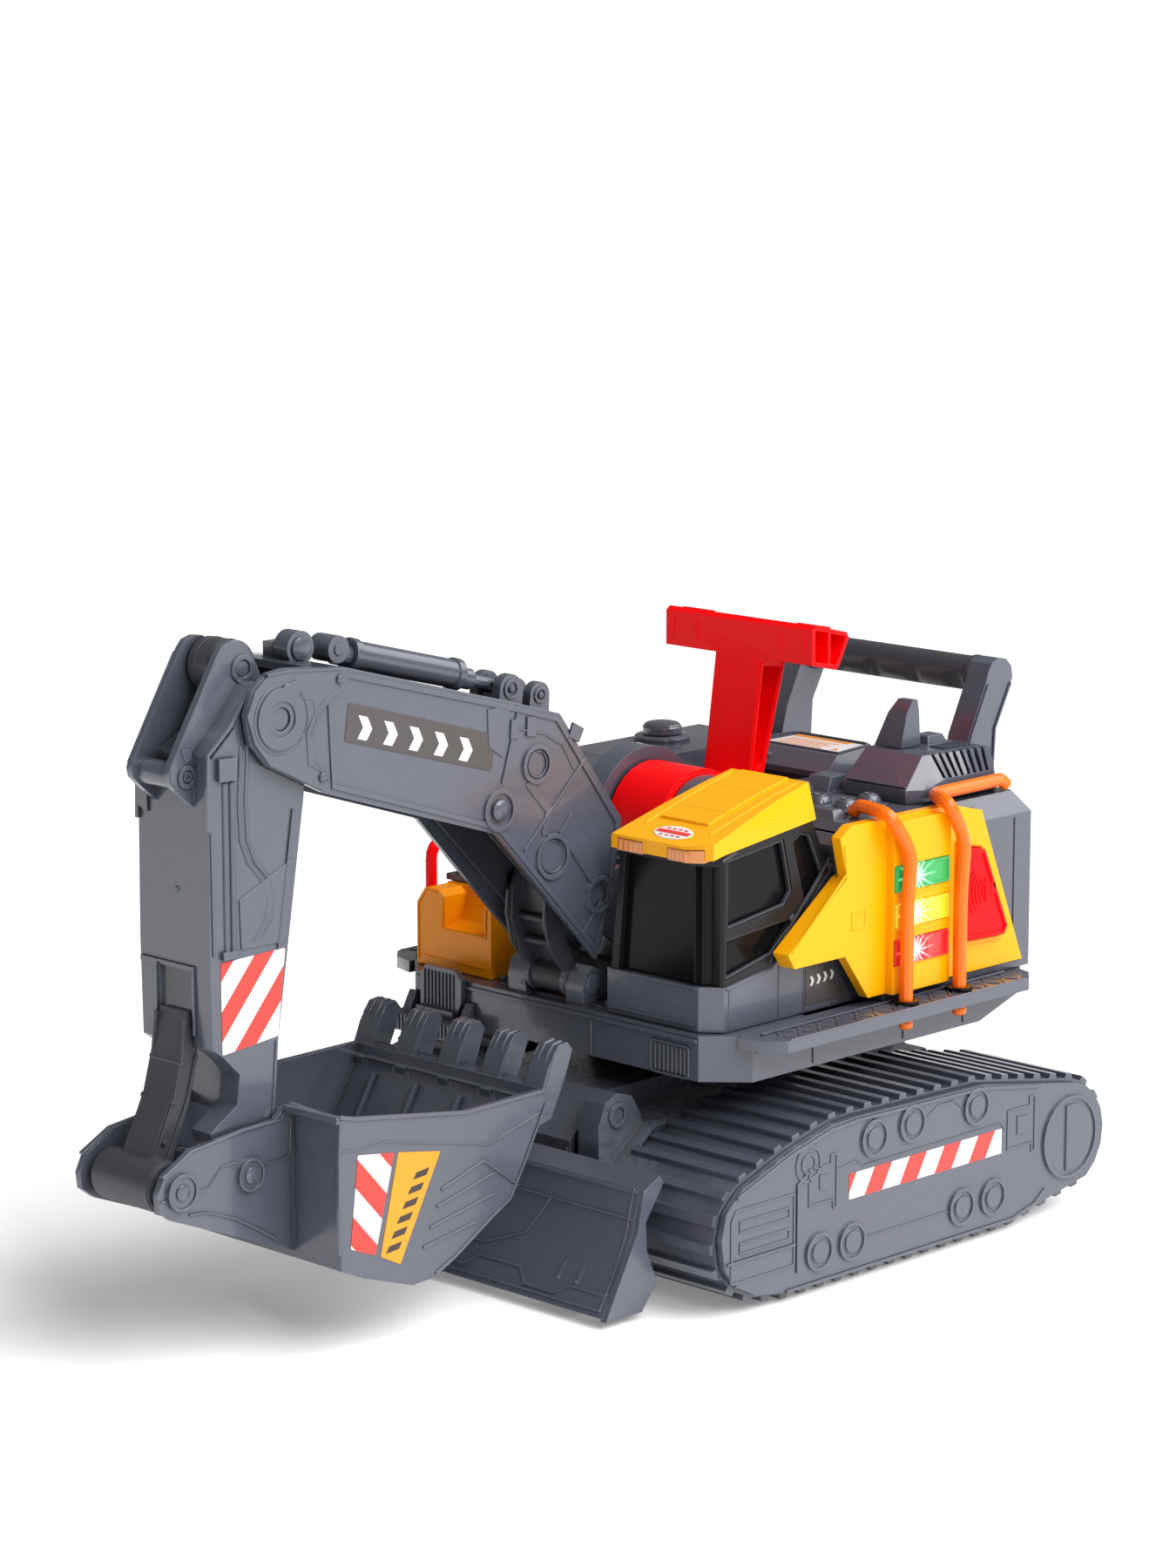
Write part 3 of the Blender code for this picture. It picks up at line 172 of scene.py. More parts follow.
def stripes(name, direction, width, shift):
    """Red and white film in slanted bands, slightly worn and with a clear coat."""
    look = Look(name)
    along = look.vector("DOT_PRODUCT", look.place, Vector(direction) * MM / width)["Value"]
    part = look.calc("FRACT", look.calc("ADD", along, shift))
    haze = look.noise(160.0, 5.0)
    paint = look.mix(look.ramp(part, 0.49, 0.51), shade(RED), shade(WHITE))
    values = {"Base Color": look.mix(0.12, paint, haze["Color"], blend_type="MULTIPLY"),
              "Roughness": look.ramp(haze["Fac"], 0.0, 1.0, 0.25, 0.4), "Coat Weight": 0.3}
    return look.done(haze["Fac"], 0.06, 0.0001, None, values)


GREY = (0.078, 0.084, 0.112)
WHITE = (0.85, 0.85, 0.84)
RED = (0.86, 0.035, 0.022)
MATS = {
    # grey plastic: painted shade in its crevices, and edges painted strongly lighter, partly as a painted
    # highlight
    "grey_plastic": plastic("grey", GREY, 0.26, 0.9, coat=0.5, painted_crevice_shade=0.8),
    "dark_plastic": plastic("dark", (0.042, 0.044, 0.053), 0.4, 0.35, grain=0.3),
    "black_plastic": plastic("black", (0.005, 0.005, 0.006), 0.15, 0.1, shine=0.13),
    "yellow_plastic": plastic("yellow", (0.97, 0.415, 0.0), 0.3, 0.5, 0.03, coat=0.1,
                              edge_wear_and_highlight=(1.0, 0.66, 0.06),
                              shine=0.2),
    "orange_plastic": plastic("orange", (0.95, 0.16, 0.0), 0.28, 0.5, 0.03, coat=0.25,
                              edge_wear_and_highlight=(1.0, 0.36, 0.06),
                              shine=0.3),
    "red_plastic": plastic("red", (1.0, 0.0, 0.003), 0.34, 0.5, 0.02, edge_wear_and_highlight=(1.0, 0.05, 0.04), shine=0.14),
    "amber_lens": plastic("amber", (0.78, 0.27, 0.06), 0.12, 0.5, 0.18, coat=0.6, edge_wear_and_highlight=(1.0, 0.66, 0.42)),
    "locker": plastic("locker", (0.95, 0.30, 0.0), 0.3, 0.5, 0.03, coat=0.1, edge_wear_and_highlight=(1.0, 0.5, 0.05),
                      shine=0.2),
    "steel": metal("steel", (0.55, 0.55, 0.57), 0.28),
}
LAMPS = (("green", (0.01, 0.33, 0.07), (0.02, 0.9, 0.2), 217),
         ("yellow", (0.85, 0.62, 0.01), (1.0, 0.75, 0.02), 196),
         ("red", (0.72, 0.008, 0.01), (1.0, 0.03, 0.02), 174.5))
for word, rgb, glow, z in LAMPS:
    MATS[word + "_lens"] = lens(word, rgb, glow, M(141, 33.5, z))

SHELL = plastic("shell", (0.011, 0.011, 0.013), 0.3, 0.35, shine=0.25)
SLOT = {row["node"]: row["material_slot"] for row in frame["record"]["subparts"]}
for name, cad in frame["nodes"].items():
    for face in cad.data.polygons:
        face.use_smooth = True
    weld = cad.modifiers.new("weld", "WELD")
    weld.merge_threshold = 0.00001
    crease = cad.modifiers.new("crease", "EDGE_SPLIT")
    crease.split_angle = math.radians(33)
    even = cad.modifiers.new("even", "WEIGHTED_NORMAL")
    even.mode = "FACE_AREA"
    cad.material_slots[0].link = "OBJECT"
    look = MATS["locker" if name == "tool_locker" else SLOT[name]]
    cad.material_slots[0].material = SHELL if name == "cab_frame" else look


# ------------------------------------------------------------------ moulded detail
def ring_points(a, b, radius, sides=28, start=0.0):
    angles = [start + 2 * math.pi * i / sides for i in range(sides)]
    return [(a + radius * math.cos(t), b + radius * math.sin(t)) for t in angles]


def swap(axis, a, b, t):
    place = [a, b]
    place.insert("XYZ".index(axis), t)
    return place


KITS = []


class Relief:
    """Raised mouldings of one body and one look, gathered into one piece with softened edges."""

    def __init__(self, name, body, slot="grey_plastic", look=None, where=None, soft=0.35):
        self.name, self.body, self.slot, self.soft = name, body, slot, soft
        self.look = look or MATS[slot]
        self.where = where or (A if body in ARM_BODIES else M)
        self.bm = bmesh.new()
        KITS.append(self)

    def outline(self, axis, points, t):
        return [self.bm.verts.new(self.where(*swap(axis, a, b, t))) for a, b in points]

    def walls(self, rings, capped=True):
        for low, high in zip(rings, rings[1:]):
            for i in range(len(low)):
                j = (i + 1) % len(low)
                self.bm.faces.new((low[i], low[j], high[j], high[i]))
        if capped:
            self.bm.faces.new(rings[0])
            self.bm.faces.new(rings[-1])

    def loft(self, axis, levels):
        self.walls([self.outline(axis, points, t) for t, points in levels])

    def plate(self, axis, outline, low, high):
        self.loft(axis, [(low, outline), (high, outline)])

    def box(self, x0, x1, y0, y1, z0, z1):
        self.plate("Z", [(x0, y0), (x1, y0), (x1, y1), (x0, y1)], z0, z1)

    def band(self, axis, outer, inner, low, high):
        """A closed frame between two outlines of equal count."""
        levels = ((low, outer), (high, outer), (high, inner), (low, inner))
        rings = [self.outline(axis, points, t) for t, points in levels]
        self.walls(rings + rings[:1], capped=False)

    def ring(self, axis, a, b, outer, inner, low, high, sides=32):
        self.band(axis, ring_points(a, b, outer, sides), ring_points(a, b, inner, sides), low, high)

    def disc(self, axis, a, b, profile, sides=28):
        self.loft(axis, [(t, ring_points(a, b, r, sides)) for t, r in profile])

    def strip(self, axis, line, width, low, high):
        """A raised line of even width along an open route."""
        points = [Vector(p) for p in line]
        left, right = [], []
        for i, here in enumerate(points):
            ahead = heading(points, i)
            side = Vector((-ahead.y, ahead.x)) * width / 2
            left.append((here + side)[:])
            right.append((here - side)[:])
        self.plate(axis, left + right[::-1], low, high)

    def tube(self, path, radius, sides=10):
        points = [self.where(*p) for p in path]
        rings, side = [], None
        angles = [2 * math.pi * k / sides for k in range(sides)]
        for i, here in enumerate(points):
            ahead = heading(points, i)
            side = ahead.orthogonal() if side is None else side - ahead * side.dot(ahead)
            side.normalize()
            up = ahead.cross(side)
            spokes = [side * math.cos(t) + up * math.sin(t) for t in angles]
            rings.append([self.bm.verts.new(here + spoke * radius / MM) for spoke in spokes])
        self.walls(rings)

    def done(self):
        bmesh.ops.recalc_face_normals(self.bm, faces=self.bm.faces)
        mesh = bpy.data.meshes.new(self.name)
        self.bm.to_mesh(mesh)
        self.bm.free()
        for face in mesh.polygons:
            face.use_smooth = True
        mesh.set_sharp_from_angle(angle=math.radians(50))
        piece = bpy.data.objects.new(self.name, mesh)
        bpy.context.scene.collection.objects.link(piece)
        if self.soft:
            bevel = piece.modifiers.new("soft", "BEVEL")
            bevel.width = self.soft / MM
            bevel.segments = 2
            bevel.limit_method = "ANGLE"
            bevel.angle_limit = math.radians(40)
            bevel.harden_normals = True
        mesh.materials.append(self.look)
        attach(piece, self.body)


def printed(name, body, look, slot="grey_plastic"):
    """A flat film, label or ink mark with plain edges."""
    return Relief(name, body, slot, look, soft=0)


def heading(points, i):
    return (points[min(i + 1, len(points) - 1)] - points[max(i - 1, 0)]).normalized()


def inset(outline, distance):
    points = [Vector(p) for p in outline]
    area = sum(a.x * b.y - b.x * a.y for a, b in zip(points, points[1:] + points[:1]))
    sign = -1.0 if area > 0 else 1.0
    out = []
    for i, here in enumerate(points):
        before = (here - points[i - 1]).normalized()
        after = (points[(i + 1) % len(points)] - here).normalized()
        n1 = Vector((before.y, -before.x)) * sign
        n2 = Vector((after.y, -after.x)) * sign
        mitre = (n1 + n2).normalized()
        out.append((here + mitre * distance / max(mitre.dot(n1), 0.4))[:])
    return out


def rounded(outline, radius, steps=4):
    points = [Vector(p) for p in outline]
    out = []
    for i, here in enumerate(points):
        before, after = points[i - 1], points[(i + 1) % len(points)]
        reach = min(radius, (before - here).length * 0.45, (after - here).length * 0.45)
        start = here + (before - here).normalized() * reach
        end = here + (after - here).normalized() * reach
        for k in range(steps + 1):
            t = k / steps
            out.append(((1 - t) ** 2 * start + 2 * t * (1 - t) * here + t * t * end)[:])
    return out


def square(a0, a1, b0, b1):
    return [(a0, b0), (a1, b0), (a1, b1), (a0, b1)]


WHITE_FILM = plastic("white_film", WHITE, 0.32, 0.1, 0.03, coat=0.3)
RED_FILM = plastic("red_film", RED, 0.32, 0.1, 0.03, coat=0.3)
AMBER_FILM = plastic("amber_film", (0.9, 0.31, 0.02), 0.32, 0.1, 0.03, coat=0.15, shine=0.25)
LABEL_FILM = plastic("label_film", (0.062, 0.054, 0.053), 0.4, 0.2, 0.08, coat=0.2)
INK = plastic("ink", (0.045, 0.035, 0.03), 0.45, 0.1, 0.05)

# driving planes and axes that the mouldings stand on, in millimetres
BOOM_SIDE = 32.6
NOSE_SIDE = 34.6
STICK_SIDE = 27.6
HORN_SIDE = 16.2
EAR_SIDE = 33.2
BUCKET_SIDE = 76
TRACK_SIDE = 161.9
PANEL_SIDE = 134.6
SKIRT_SIDE = 119.4
HORN_FACE = 139.2
DECK_TOP = 249.6
WALK_TOP = 145.6
LABEL_TOP = 263.2
STICK_PIVOT = (-344, 342)
ROLLER = (-354.4, 367.7)
HORN_FOOT = (-392.8, 315.8)
LINK_PIN = (-416, 103)
LIFT_PIN = (-105, 158)
LEVER_PIVOT = (-8, 232)
FILLER = (-88, 66)
BLADE_LUG = (-133, 96)
SMALL_ROLLER = (-80, 76)


def span(side, low, high):
    return sorted((side * low, side * high))


def between(marks, t):
    """Value at a place on a broken line of marks."""
    for (t0, v0), (t1, v1) in zip(marks, marks[1:]):
        if t <= t1:
            return v0 + (v1 - v0) * (t - t0) / (t1 - t0)
    return marks[-1][1]


def build_arm_detail():
    boom_edge = [(-311, 361), (-299, 361.5), (-175, 328), (-139.5, 317.5), (-91, 252), (-97, 219),
                 (-98.5, 206), (-109.5, 179), (-187, 260.5), (-308, 300)]
    kit = Relief("boom_relief", "boom")
    for side in SIDES:
        lo, hi = span(side, BOOM_SIDE, 33.9)
        kit.band("X", boom_edge, inset(boom_edge, 3), lo, hi)
        lo, hi = span(side, BOOM_SIDE, 34)
        kit.strip("X", [(-170, 327), (-183, 285.5)], 1.6, lo, hi)
        kit.plate("X", [(-194, 328), (-176.5, 329), (-182.5, 300), (-193, 307)],
                  *span(side, BOOM_SIDE, 33.7))
        kit.strip("X", [(-118, 291.5), (-166, 246)], 1.8, lo, hi)
        kit.strip("X", [(-106, 208), (-120, 192.5)], 1.6, lo, hi)
        kit.plate("X", [(-132, 305), (-124, 301), (-120, 308.5), (-128.5, 313)],
                  *span(side, BOOM_SIDE, 34.4))
        kit.plate("X", [(-164, 320.5), (-157.5, 319.5), (-157, 308.5), (-164.5, 309.5)],
                  *span(side, BOOM_SIDE, 34.3))
        kit.plate("X", [(-176, 320.5), (-170.5, 319.5), (-171, 309), (-177, 310)],
                  *span(side, BOOM_SIDE, 34.1))
        kit.plate("X", [(-139, 252), (-130, 262), (-104, 230), (-108, 217.5), (-115, 221)],
                  *span(side, BOOM_SIDE, 33.9))
        kit.strip("X", [(-163, 284), (-147, 266), (-150, 252)], 5.5, *span(side, BOOM_SIDE, 33.7))
        kit.strip("X", [(-176, 316), (-150, 309), (-136, 301), (-127, 286)], 1.4,
                  *span(side, BOOM_SIDE, 33.6))
        kit.ring("X", -156.1, 293, 7.6, 6.8, *span(side, BOOM_SIDE, 34.2))
        kit.disc("X", -184.9, 271.2, [(side * BOOM_SIDE, 6), (side * 34.6, 6), (side * 35.8, 4.4),
                                      (side * 36.2, 2)])
        kit.ring("X", -144, 239.3, 9.2, 8.4, *span(side, BOOM_SIDE, 33.8))
        # cheek of the boom's nose: hub, tab, bolts and pressed lines
        kit.ring("X", *STICK_PIVOT, 16.5, 9.2, *span(side, NOSE_SIDE, 35.9), sides=40)
        kit.ring("X", *STICK_PIVOT, 19, 17.8, *span(side, NOSE_SIDE, 35.4), sides=40)
        kit.plate("X", [(-343, 359), (-333, 361.5), (-331.5, 352.5), (-339, 352)],
                  *span(side, NOSE_SIDE, 36))
        kit.disc("X", -303, 358, [(side * NOSE_SIDE, 2.6), (side * 36.2, 2.6), (side * 36.8, 1.4)], 16)
        kit.disc("X", -316, 307.5, [(side * NOSE_SIDE, 2.6), (side * 36.2, 2.6), (side * 36.8, 1.4)], 16)
        kit.strip("X", [(-302, 353.5), (-312, 348.5), (-320.5, 343), (-326.5, 332), (-325.5, 316),
                        (-317, 311.5), (-311, 305)], 1.3, *span(side, NOSE_SIDE, 35.5))
        kit.strip("X", [(-330, 352), (-322, 349.5), (-319, 339), (-324, 330)], 1.1,
                  *span(side, NOSE_SIDE, 35.3))
    edge = [(-353, 366), (-339, 366.6), (-301, 363.4)]
    kit.strip("X", edge, 1.6, 30.5, 35.6)
    kit.strip("X", edge, 1.6, -35.6, -30.5)
    kit.disc("X", -303.5, 371, [(5, 6.5), (6.2, 6.5), (7.2, 4)], 20)
    kit.tube([(-6.5, -279, 368), (8.8, -279, 368)], 3.4, 16)
    for y, z, r in ((-155, 332, 5.6), (-132.5, 326, 4.8)):
        kit.ring("X", y, z, r, r - 1.7, 11.8, 13, 24)
        kit.disc("X", y, z, [(11.8, 2), (13.4, 2), (13.8, 1.2)], 14)

    kit = Relief("arm_cylinder_sleeve", "boom")
    kit.tube([(0, -266, 363.4), (0, -188, 343.2)], 8, 28)
    for y, z in ((-266, 363.4), (-190, 343.7)):
        kit.tube([(0, y, z), (0, y + 5, z - 1.3)], 9, 28)
    label = [(-295.4, 344.6), (-188, 313.8), (-191, 293.6), (-298.7, 324.1)]
    kit = printed("boom_labels", "boom", LABEL_FILM)
    marks = printed("boom_marks", "boom", WHITE_FILM)
    for side in SIDES:
        kit.plate("X", rounded(label, 1.5), *span(side, 32.8, 33.25))
        for k in range(5):
            base = Vector((-288.5 + 18.4 * k, 337 - 5.28 * k))
            along, down = Vector((12.4, -3.55)), Vector((-1, -12.6))
            tip = Vector((3.2, -6.8))
            chevron = [base, base + along * 0.52, base + along * 0.52 + tip, base + along * 0.52 + down,
                       base + down, base + tip + down * 0.02]
            marks.plate("X", [p[:] for p in chevron], *span(side, 33.2, 33.45))

    kit = Relief("boom_under", "boom", look=MATS["dark_plastic"], soft=0.5)
    for x in (-20, 20):
        kit.plate("X", [(-310, 301), (-310, 318), (-190, 286), (-150, 262), (-130, 222), (-122, 196),
                        (-187, 262)], x - 1, x + 1)


def build_stick_detail():
    kit = Relief("stick_relief", "stick")
    top = [(-389.5, 288), (-388.5, 327.5), (-374.5, 339.5), (-357, 361)]
    for side in SIDES:
        kit.strip("X", top, 1.8, *span(side, 26.5, 29))
        for y in (-377.5, -372.8):
            kit.tube([(side * STICK_SIDE, y, 312), (side * STICK_SIDE, y, 222)], 1.9, 12)
        kit.plate("X", [(-383, 325.5), (-371, 325), (-371, 313), (-383, 313.5)],
                  *span(side, STICK_SIDE, 31))
        kit.plate("X", [(-381.5, 223.5), (-370.5, 223), (-371, 218.8), (-381.5, 219)],
                  *span(side, STICK_SIDE, 30.4))
        kit.plate("X", [(-369, 249), (-331.5, 266), (-337, 222), (-368, 222.5)], *span(side, 27.4, 28.7))
        kit.strip("X", [(-331, 292), (-342.5, 219)], 1.6, *span(side, STICK_SIDE, 29.2))
        for off in (0, 4.6):
            kit.tube([(side * 27.5, -366 + off, 330), (side * 27.5, -368 + off, 300),
                      (side * 27.5, -367 + off, 280), (side * 27.5, -362 + off, 268),
                      (side * 27.5, -353 + off, 258), (side * 27.5, -350.5 + off, 246),
                      (side * 27.5, -352 + off, 236), (side * 27.5, -360 + off, 226)], 1.5, 10)
        kit.strip("X", [(-387, 287), (-386.5, 222)], 1.5, *span(side, STICK_SIDE, 28.9))
        kit.strip("X", [(-344.5, 170), (-348, 128)], 1.4, *span(side, STICK_SIDE, 28.8))
        kit.ring("X", -369, 103, 8.5, 6, *span(side, STICK_SIDE, 29), sides=24)
        # horn cheeks: ring bosses and the moulded pipe along them
        kit.ring("X", *ROLLER, 7.6, 4.8, *span(side, HORN_SIDE, 17.8), sides=30)
        kit.disc("X", *ROLLER, [(side * 16, 4.4), (side * 17, 4.2), (side * 17.2, 3)], 22)
        kit.ring("X", *HORN_FOOT, 6.2, 3.6, *span(side, HORN_SIDE, 17.8), sides=26)
        kit.ring("X", *HORN_FOOT, 2.8, 1.6, *span(side, HORN_SIDE, 17.6), sides=18)
        kit.tube([(side * 16.6, -349.5, 357.5), (side * 16.6, -357, 352), (side * 16.6, -366, 340),
                  (side * 16.6, -376, 335), (side * 16.6, -381, 328), (side * 16.6, -384.5, 319)], 1.2, 8)
        kit.strip("X", [(-372, 375), (-404, 321), (-403.5, 315), (-399, 310)], 1.2,
                  *span(side, HORN_SIDE, 17.2))
        kit.plate("X", [(-396.5, 331), (-390.5, 330), (-389, 325), (-394, 322.5)],
                  *span(side, HORN_SIDE, 17.3))
        # sloping web between horn cheek and side
        lo, hi = span(side, 12.8, 28)
        kit.plate("X", [(-389.2, 326), (-388.6, 328.5), (-374.5, 341), (-357, 362), (-352, 360),
                        (-372, 337.5), (-386, 325)], lo, hi)
    kit.strip("Z", [(-27, -389.6), (-13.6, -389.6)], 1.2, 212, 215)
    kit.strip("Y", [(-14.9, 178), (-14.9, 213.6)], 1.6, -390.2, -388.2)
    kit.strip("Y", [(14.9, 178), (14.9, 213.6)], 1.6, -390.2, -388.2)
    kit.strip("Y", [(-15.7, 214.2), (15.7, 214.2)], 1.6, -390.2, -388.2)
    kit.plate("Y", rounded([(-27, 306.5), (-19.5, 306.5), (-19.5, 292), (-27, 295)], 1), -390, -388.6)
    kit.disc("Y", 2, 254.4, [(-388.4, 1.8), (-389.5, 1.6)], 14)

    sticker = [(-382, 217.6), (-337.6, 218.7), (-343.4, 172.2), (-381.8, 168.4)]
    film = stripes("stick_film", (0, 0.76, -0.65), 21, 0.3)
    kit = printed("stick_stickers", "stick", film)
    for side in SIDES:
        kit.plate("X", rounded(sticker, 1.2), *span(side, 27.9, 28.35))

    kit = Relief("roller_rings", "stick", "dark_plastic", soft=0.3)
    for x in (-5.5, 5.5):
        kit.ring("X", *ROLLER, 14.55, 13.8, x - 0.4, x + 0.4, 40)


def build_bucket_detail():
    kit = Relief("bucket_relief", "bucket")
    for side in SIDES:
        lo, hi = span(side, BUCKET_SIDE - 0.4, BUCKET_SIDE + 0.9)
        kit.strip("X", [(-344, 137), (-333, 134), (-312, 131), (-253, 122.2), (-193, 122.8)], 2.2, lo, hi)
        kit.strip("X", [(-345, 119), (-330.6, 117), (-312, 117.5), (-236, 101), (-197, 111)], 1.1,
                  *span(side, BUCKET_SIDE - 0.4, BUCKET_SIDE + 0.5))
        kit.strip("X", [(-192.5, 116), (-209, 86), (-220, 67.5), (-234, 60), (-260, 44.8), (-276, 37.6)],
                  1.6, lo, hi)
        for a, b in (((-271.4, 83.3), (-240, 93)), ((-274.7, 74.4), (-232, 84.5)),
                     ((-280, 64), (-234, 72.5)), ((-285, 54), (-246, 60))):
            kit.strip("X", [a, b], 1.5, lo, hi)
        kit.strip("X", [(-240, 93), (-214, 74)], 1.3, lo, hi)
        kit.strip("X", [(-343, 135), (-344, 116), (-344.5, 62)], 1.6,
                  *span(side, BUCKET_SIDE - 2, BUCKET_SIDE + 0.4))
        # ears: rings on the bosses and the pressed line between them
        for y, z, r in ((-369, 103, 9), (-416, 103, 10)):
            kit.ring("X", y, z, r, r - 1.6, *span(side, 34.6, 36), sides=30)
            kit.disc("X", y, z, [(side * 34.6, 4.6), (side * 35.7, 4.6), (side * 36.3, 3.4)], 24)
        kit.strip("X", [(-430, 100.5), (-426.5, 100.5)], 1, *span(side, EAR_SIDE, 34.3))
        kit.strip("X", [(-405.5, 101), (-398, 101.5), (-388, 111), (-378.5, 111.5)], 1,
                  *span(side, EAR_SIDE, 34.3))
        kit.strip("X", [(-359, 106.5), (-345, 106.8), (-341, 109), (-340, 128)], 1,
                  *span(side, EAR_SIDE, 34.3))
        kit.strip("X", [(-428, 113), (-408.5, 123.4), (-372, 127.6), (-347, 128.4), (-342.5, 134)], 1.5,
                  *span(side, 31, 34.4))
        kit.strip("X", [(-411, 90), (-398, 88.5), (-380, 81.5), (-362, 71), (-352, 64.5)], 1.2,
                  *span(side, EAR_SIDE, 34.6))
    # rolled lip along the flare walls
    for side in SIDES:
        kit.plate("Y", [(side * 34, 133.2), (side * 76, 133.2), (side * 76, 137.2), (side * 34, 136.2)],
                  -345.8, -342.2)
    # teeth: two ridges on each
    for k in range(-2, 3):
        x = 34.3 * k
        for off in (-2.9, 2.9):
            kit.tube([(x + off, -190.5, 129), (x + off, -186.6, 140), (x + off, -182.5, 145.6),
                      (x + off, -176.2, 146.6)], 1.2, 8)
        for off in (-6.9, 6.9):
            kit.tube([(x + off, -193.5, 119), (x + off, -190.2, 130), (x + off, -186.2, 140.2),
                      (x + off, -182.6, 144.6)], 0.8, 8)
        kit.strip("Z", [(x - 4, -197), (x + 4, -197)], 2, 112, 117)
    # cutting edge between the teeth
    kit.plate("X", [(-197.5, 117), (-190.5, 124.5), (-186, 124.5), (-191, 113)], -75.4, 75.4)
    # ribs inside the tub
    for x in (-52, -17.5, 17.5, 52):
        kit.plate("X", [(-225, 68.5), (-214.5, 84.5), (-199.5, 110), (-202.5, 111), (-219, 84), (-228, 68)],
                  x - 1.2, x + 1.2)

    film = stripes("bucket_film", (0, 0.74, 0.67), 23, 0.06)
    kit = printed("bucket_stripe_stickers", "bucket", film)
    amber = printed("bucket_amber_stickers", "bucket", AMBER_FILM)
    ink = printed("bucket_marks", "bucket", INK)
    for side in SIDES:
        lo, hi = span(side, BUCKET_SIDE - 0.2, BUCKET_SIDE + 0.3)
        kit.plate("X", rounded([(-331.3, 114.1), (-305.5, 110.4), (-319.6, 57.2), (-336.9, 64.2)], 1), lo,
                  hi)
        amber.plate("X", rounded([(-302.5, 110), (-271.9, 104.6), (-301.6, 48.4), (-315.8, 55.6)], 1), lo,
                    hi)
        for k in range(6):
            base = Vector((-280 - 4.05 * k, 97.5 - 7.3 * k))
            mark = [base, base + Vector((-9.5, -1)), base + Vector((-12, -4.6)),
                    base + Vector((-2.4, -3.8))]
            ink.plate("X", [p[:] for p in mark], *span(side, BUCKET_SIDE + 0.25, BUCKET_SIDE + 0.42))

    kit = Relief("bucket_link_relief", "bucket_link", "dark_plastic", soft=0.4)
    line = [(-417, 106), (-407, 124), (-396.5, 146), (-390.5, 168), (-388, 188)]
    for side in SIDES:
        kit.strip("X", [(y - 4.6, z) for y, z in line], 2, *span(side, 10.4, 12.4))
        kit.strip("X", [(y + 5, z - 1) for y, z in line[:4]], 2, *span(side, 10.4, 12.2))
        kit.ring("X", *LINK_PIN, 13.4, 9.4, *span(side, 21.4, 23.4), sides=32)
        kit.ring("X", *LINK_PIN, 7, 4.2, *span(side, 21.4, 23), sides=26)
    for t in (0.25, 0.5, 0.75):
        y, z = -414 + 26 * t, 104 + 80 * t
        kit.tube([(-13, y - 1, z), (13, y - 1, z)], 1.7, 12)

    kit = Relief("lift_link_relief", "lift_link", "dark_plastic", where=A, soft=0.4)
    for side in SIDES:
        kit.ring("X", -108, 160, 8.6, 5.2, *span(side, 14.6, 15.8), sides=28)
        kit.strip("X", [(-118, 168), (-128.5, 181), (-132.5, 198), (-131.5, 212)], 1.6,
                  *span(side, 14.2, 15.9))
    kit.tube([(-13, -124.5, 196), (13, -124.5, 196)], 2.2, 14)
    kit.tube([(-13, -121, 182), (13, -121, 182)], 2.2, 14)


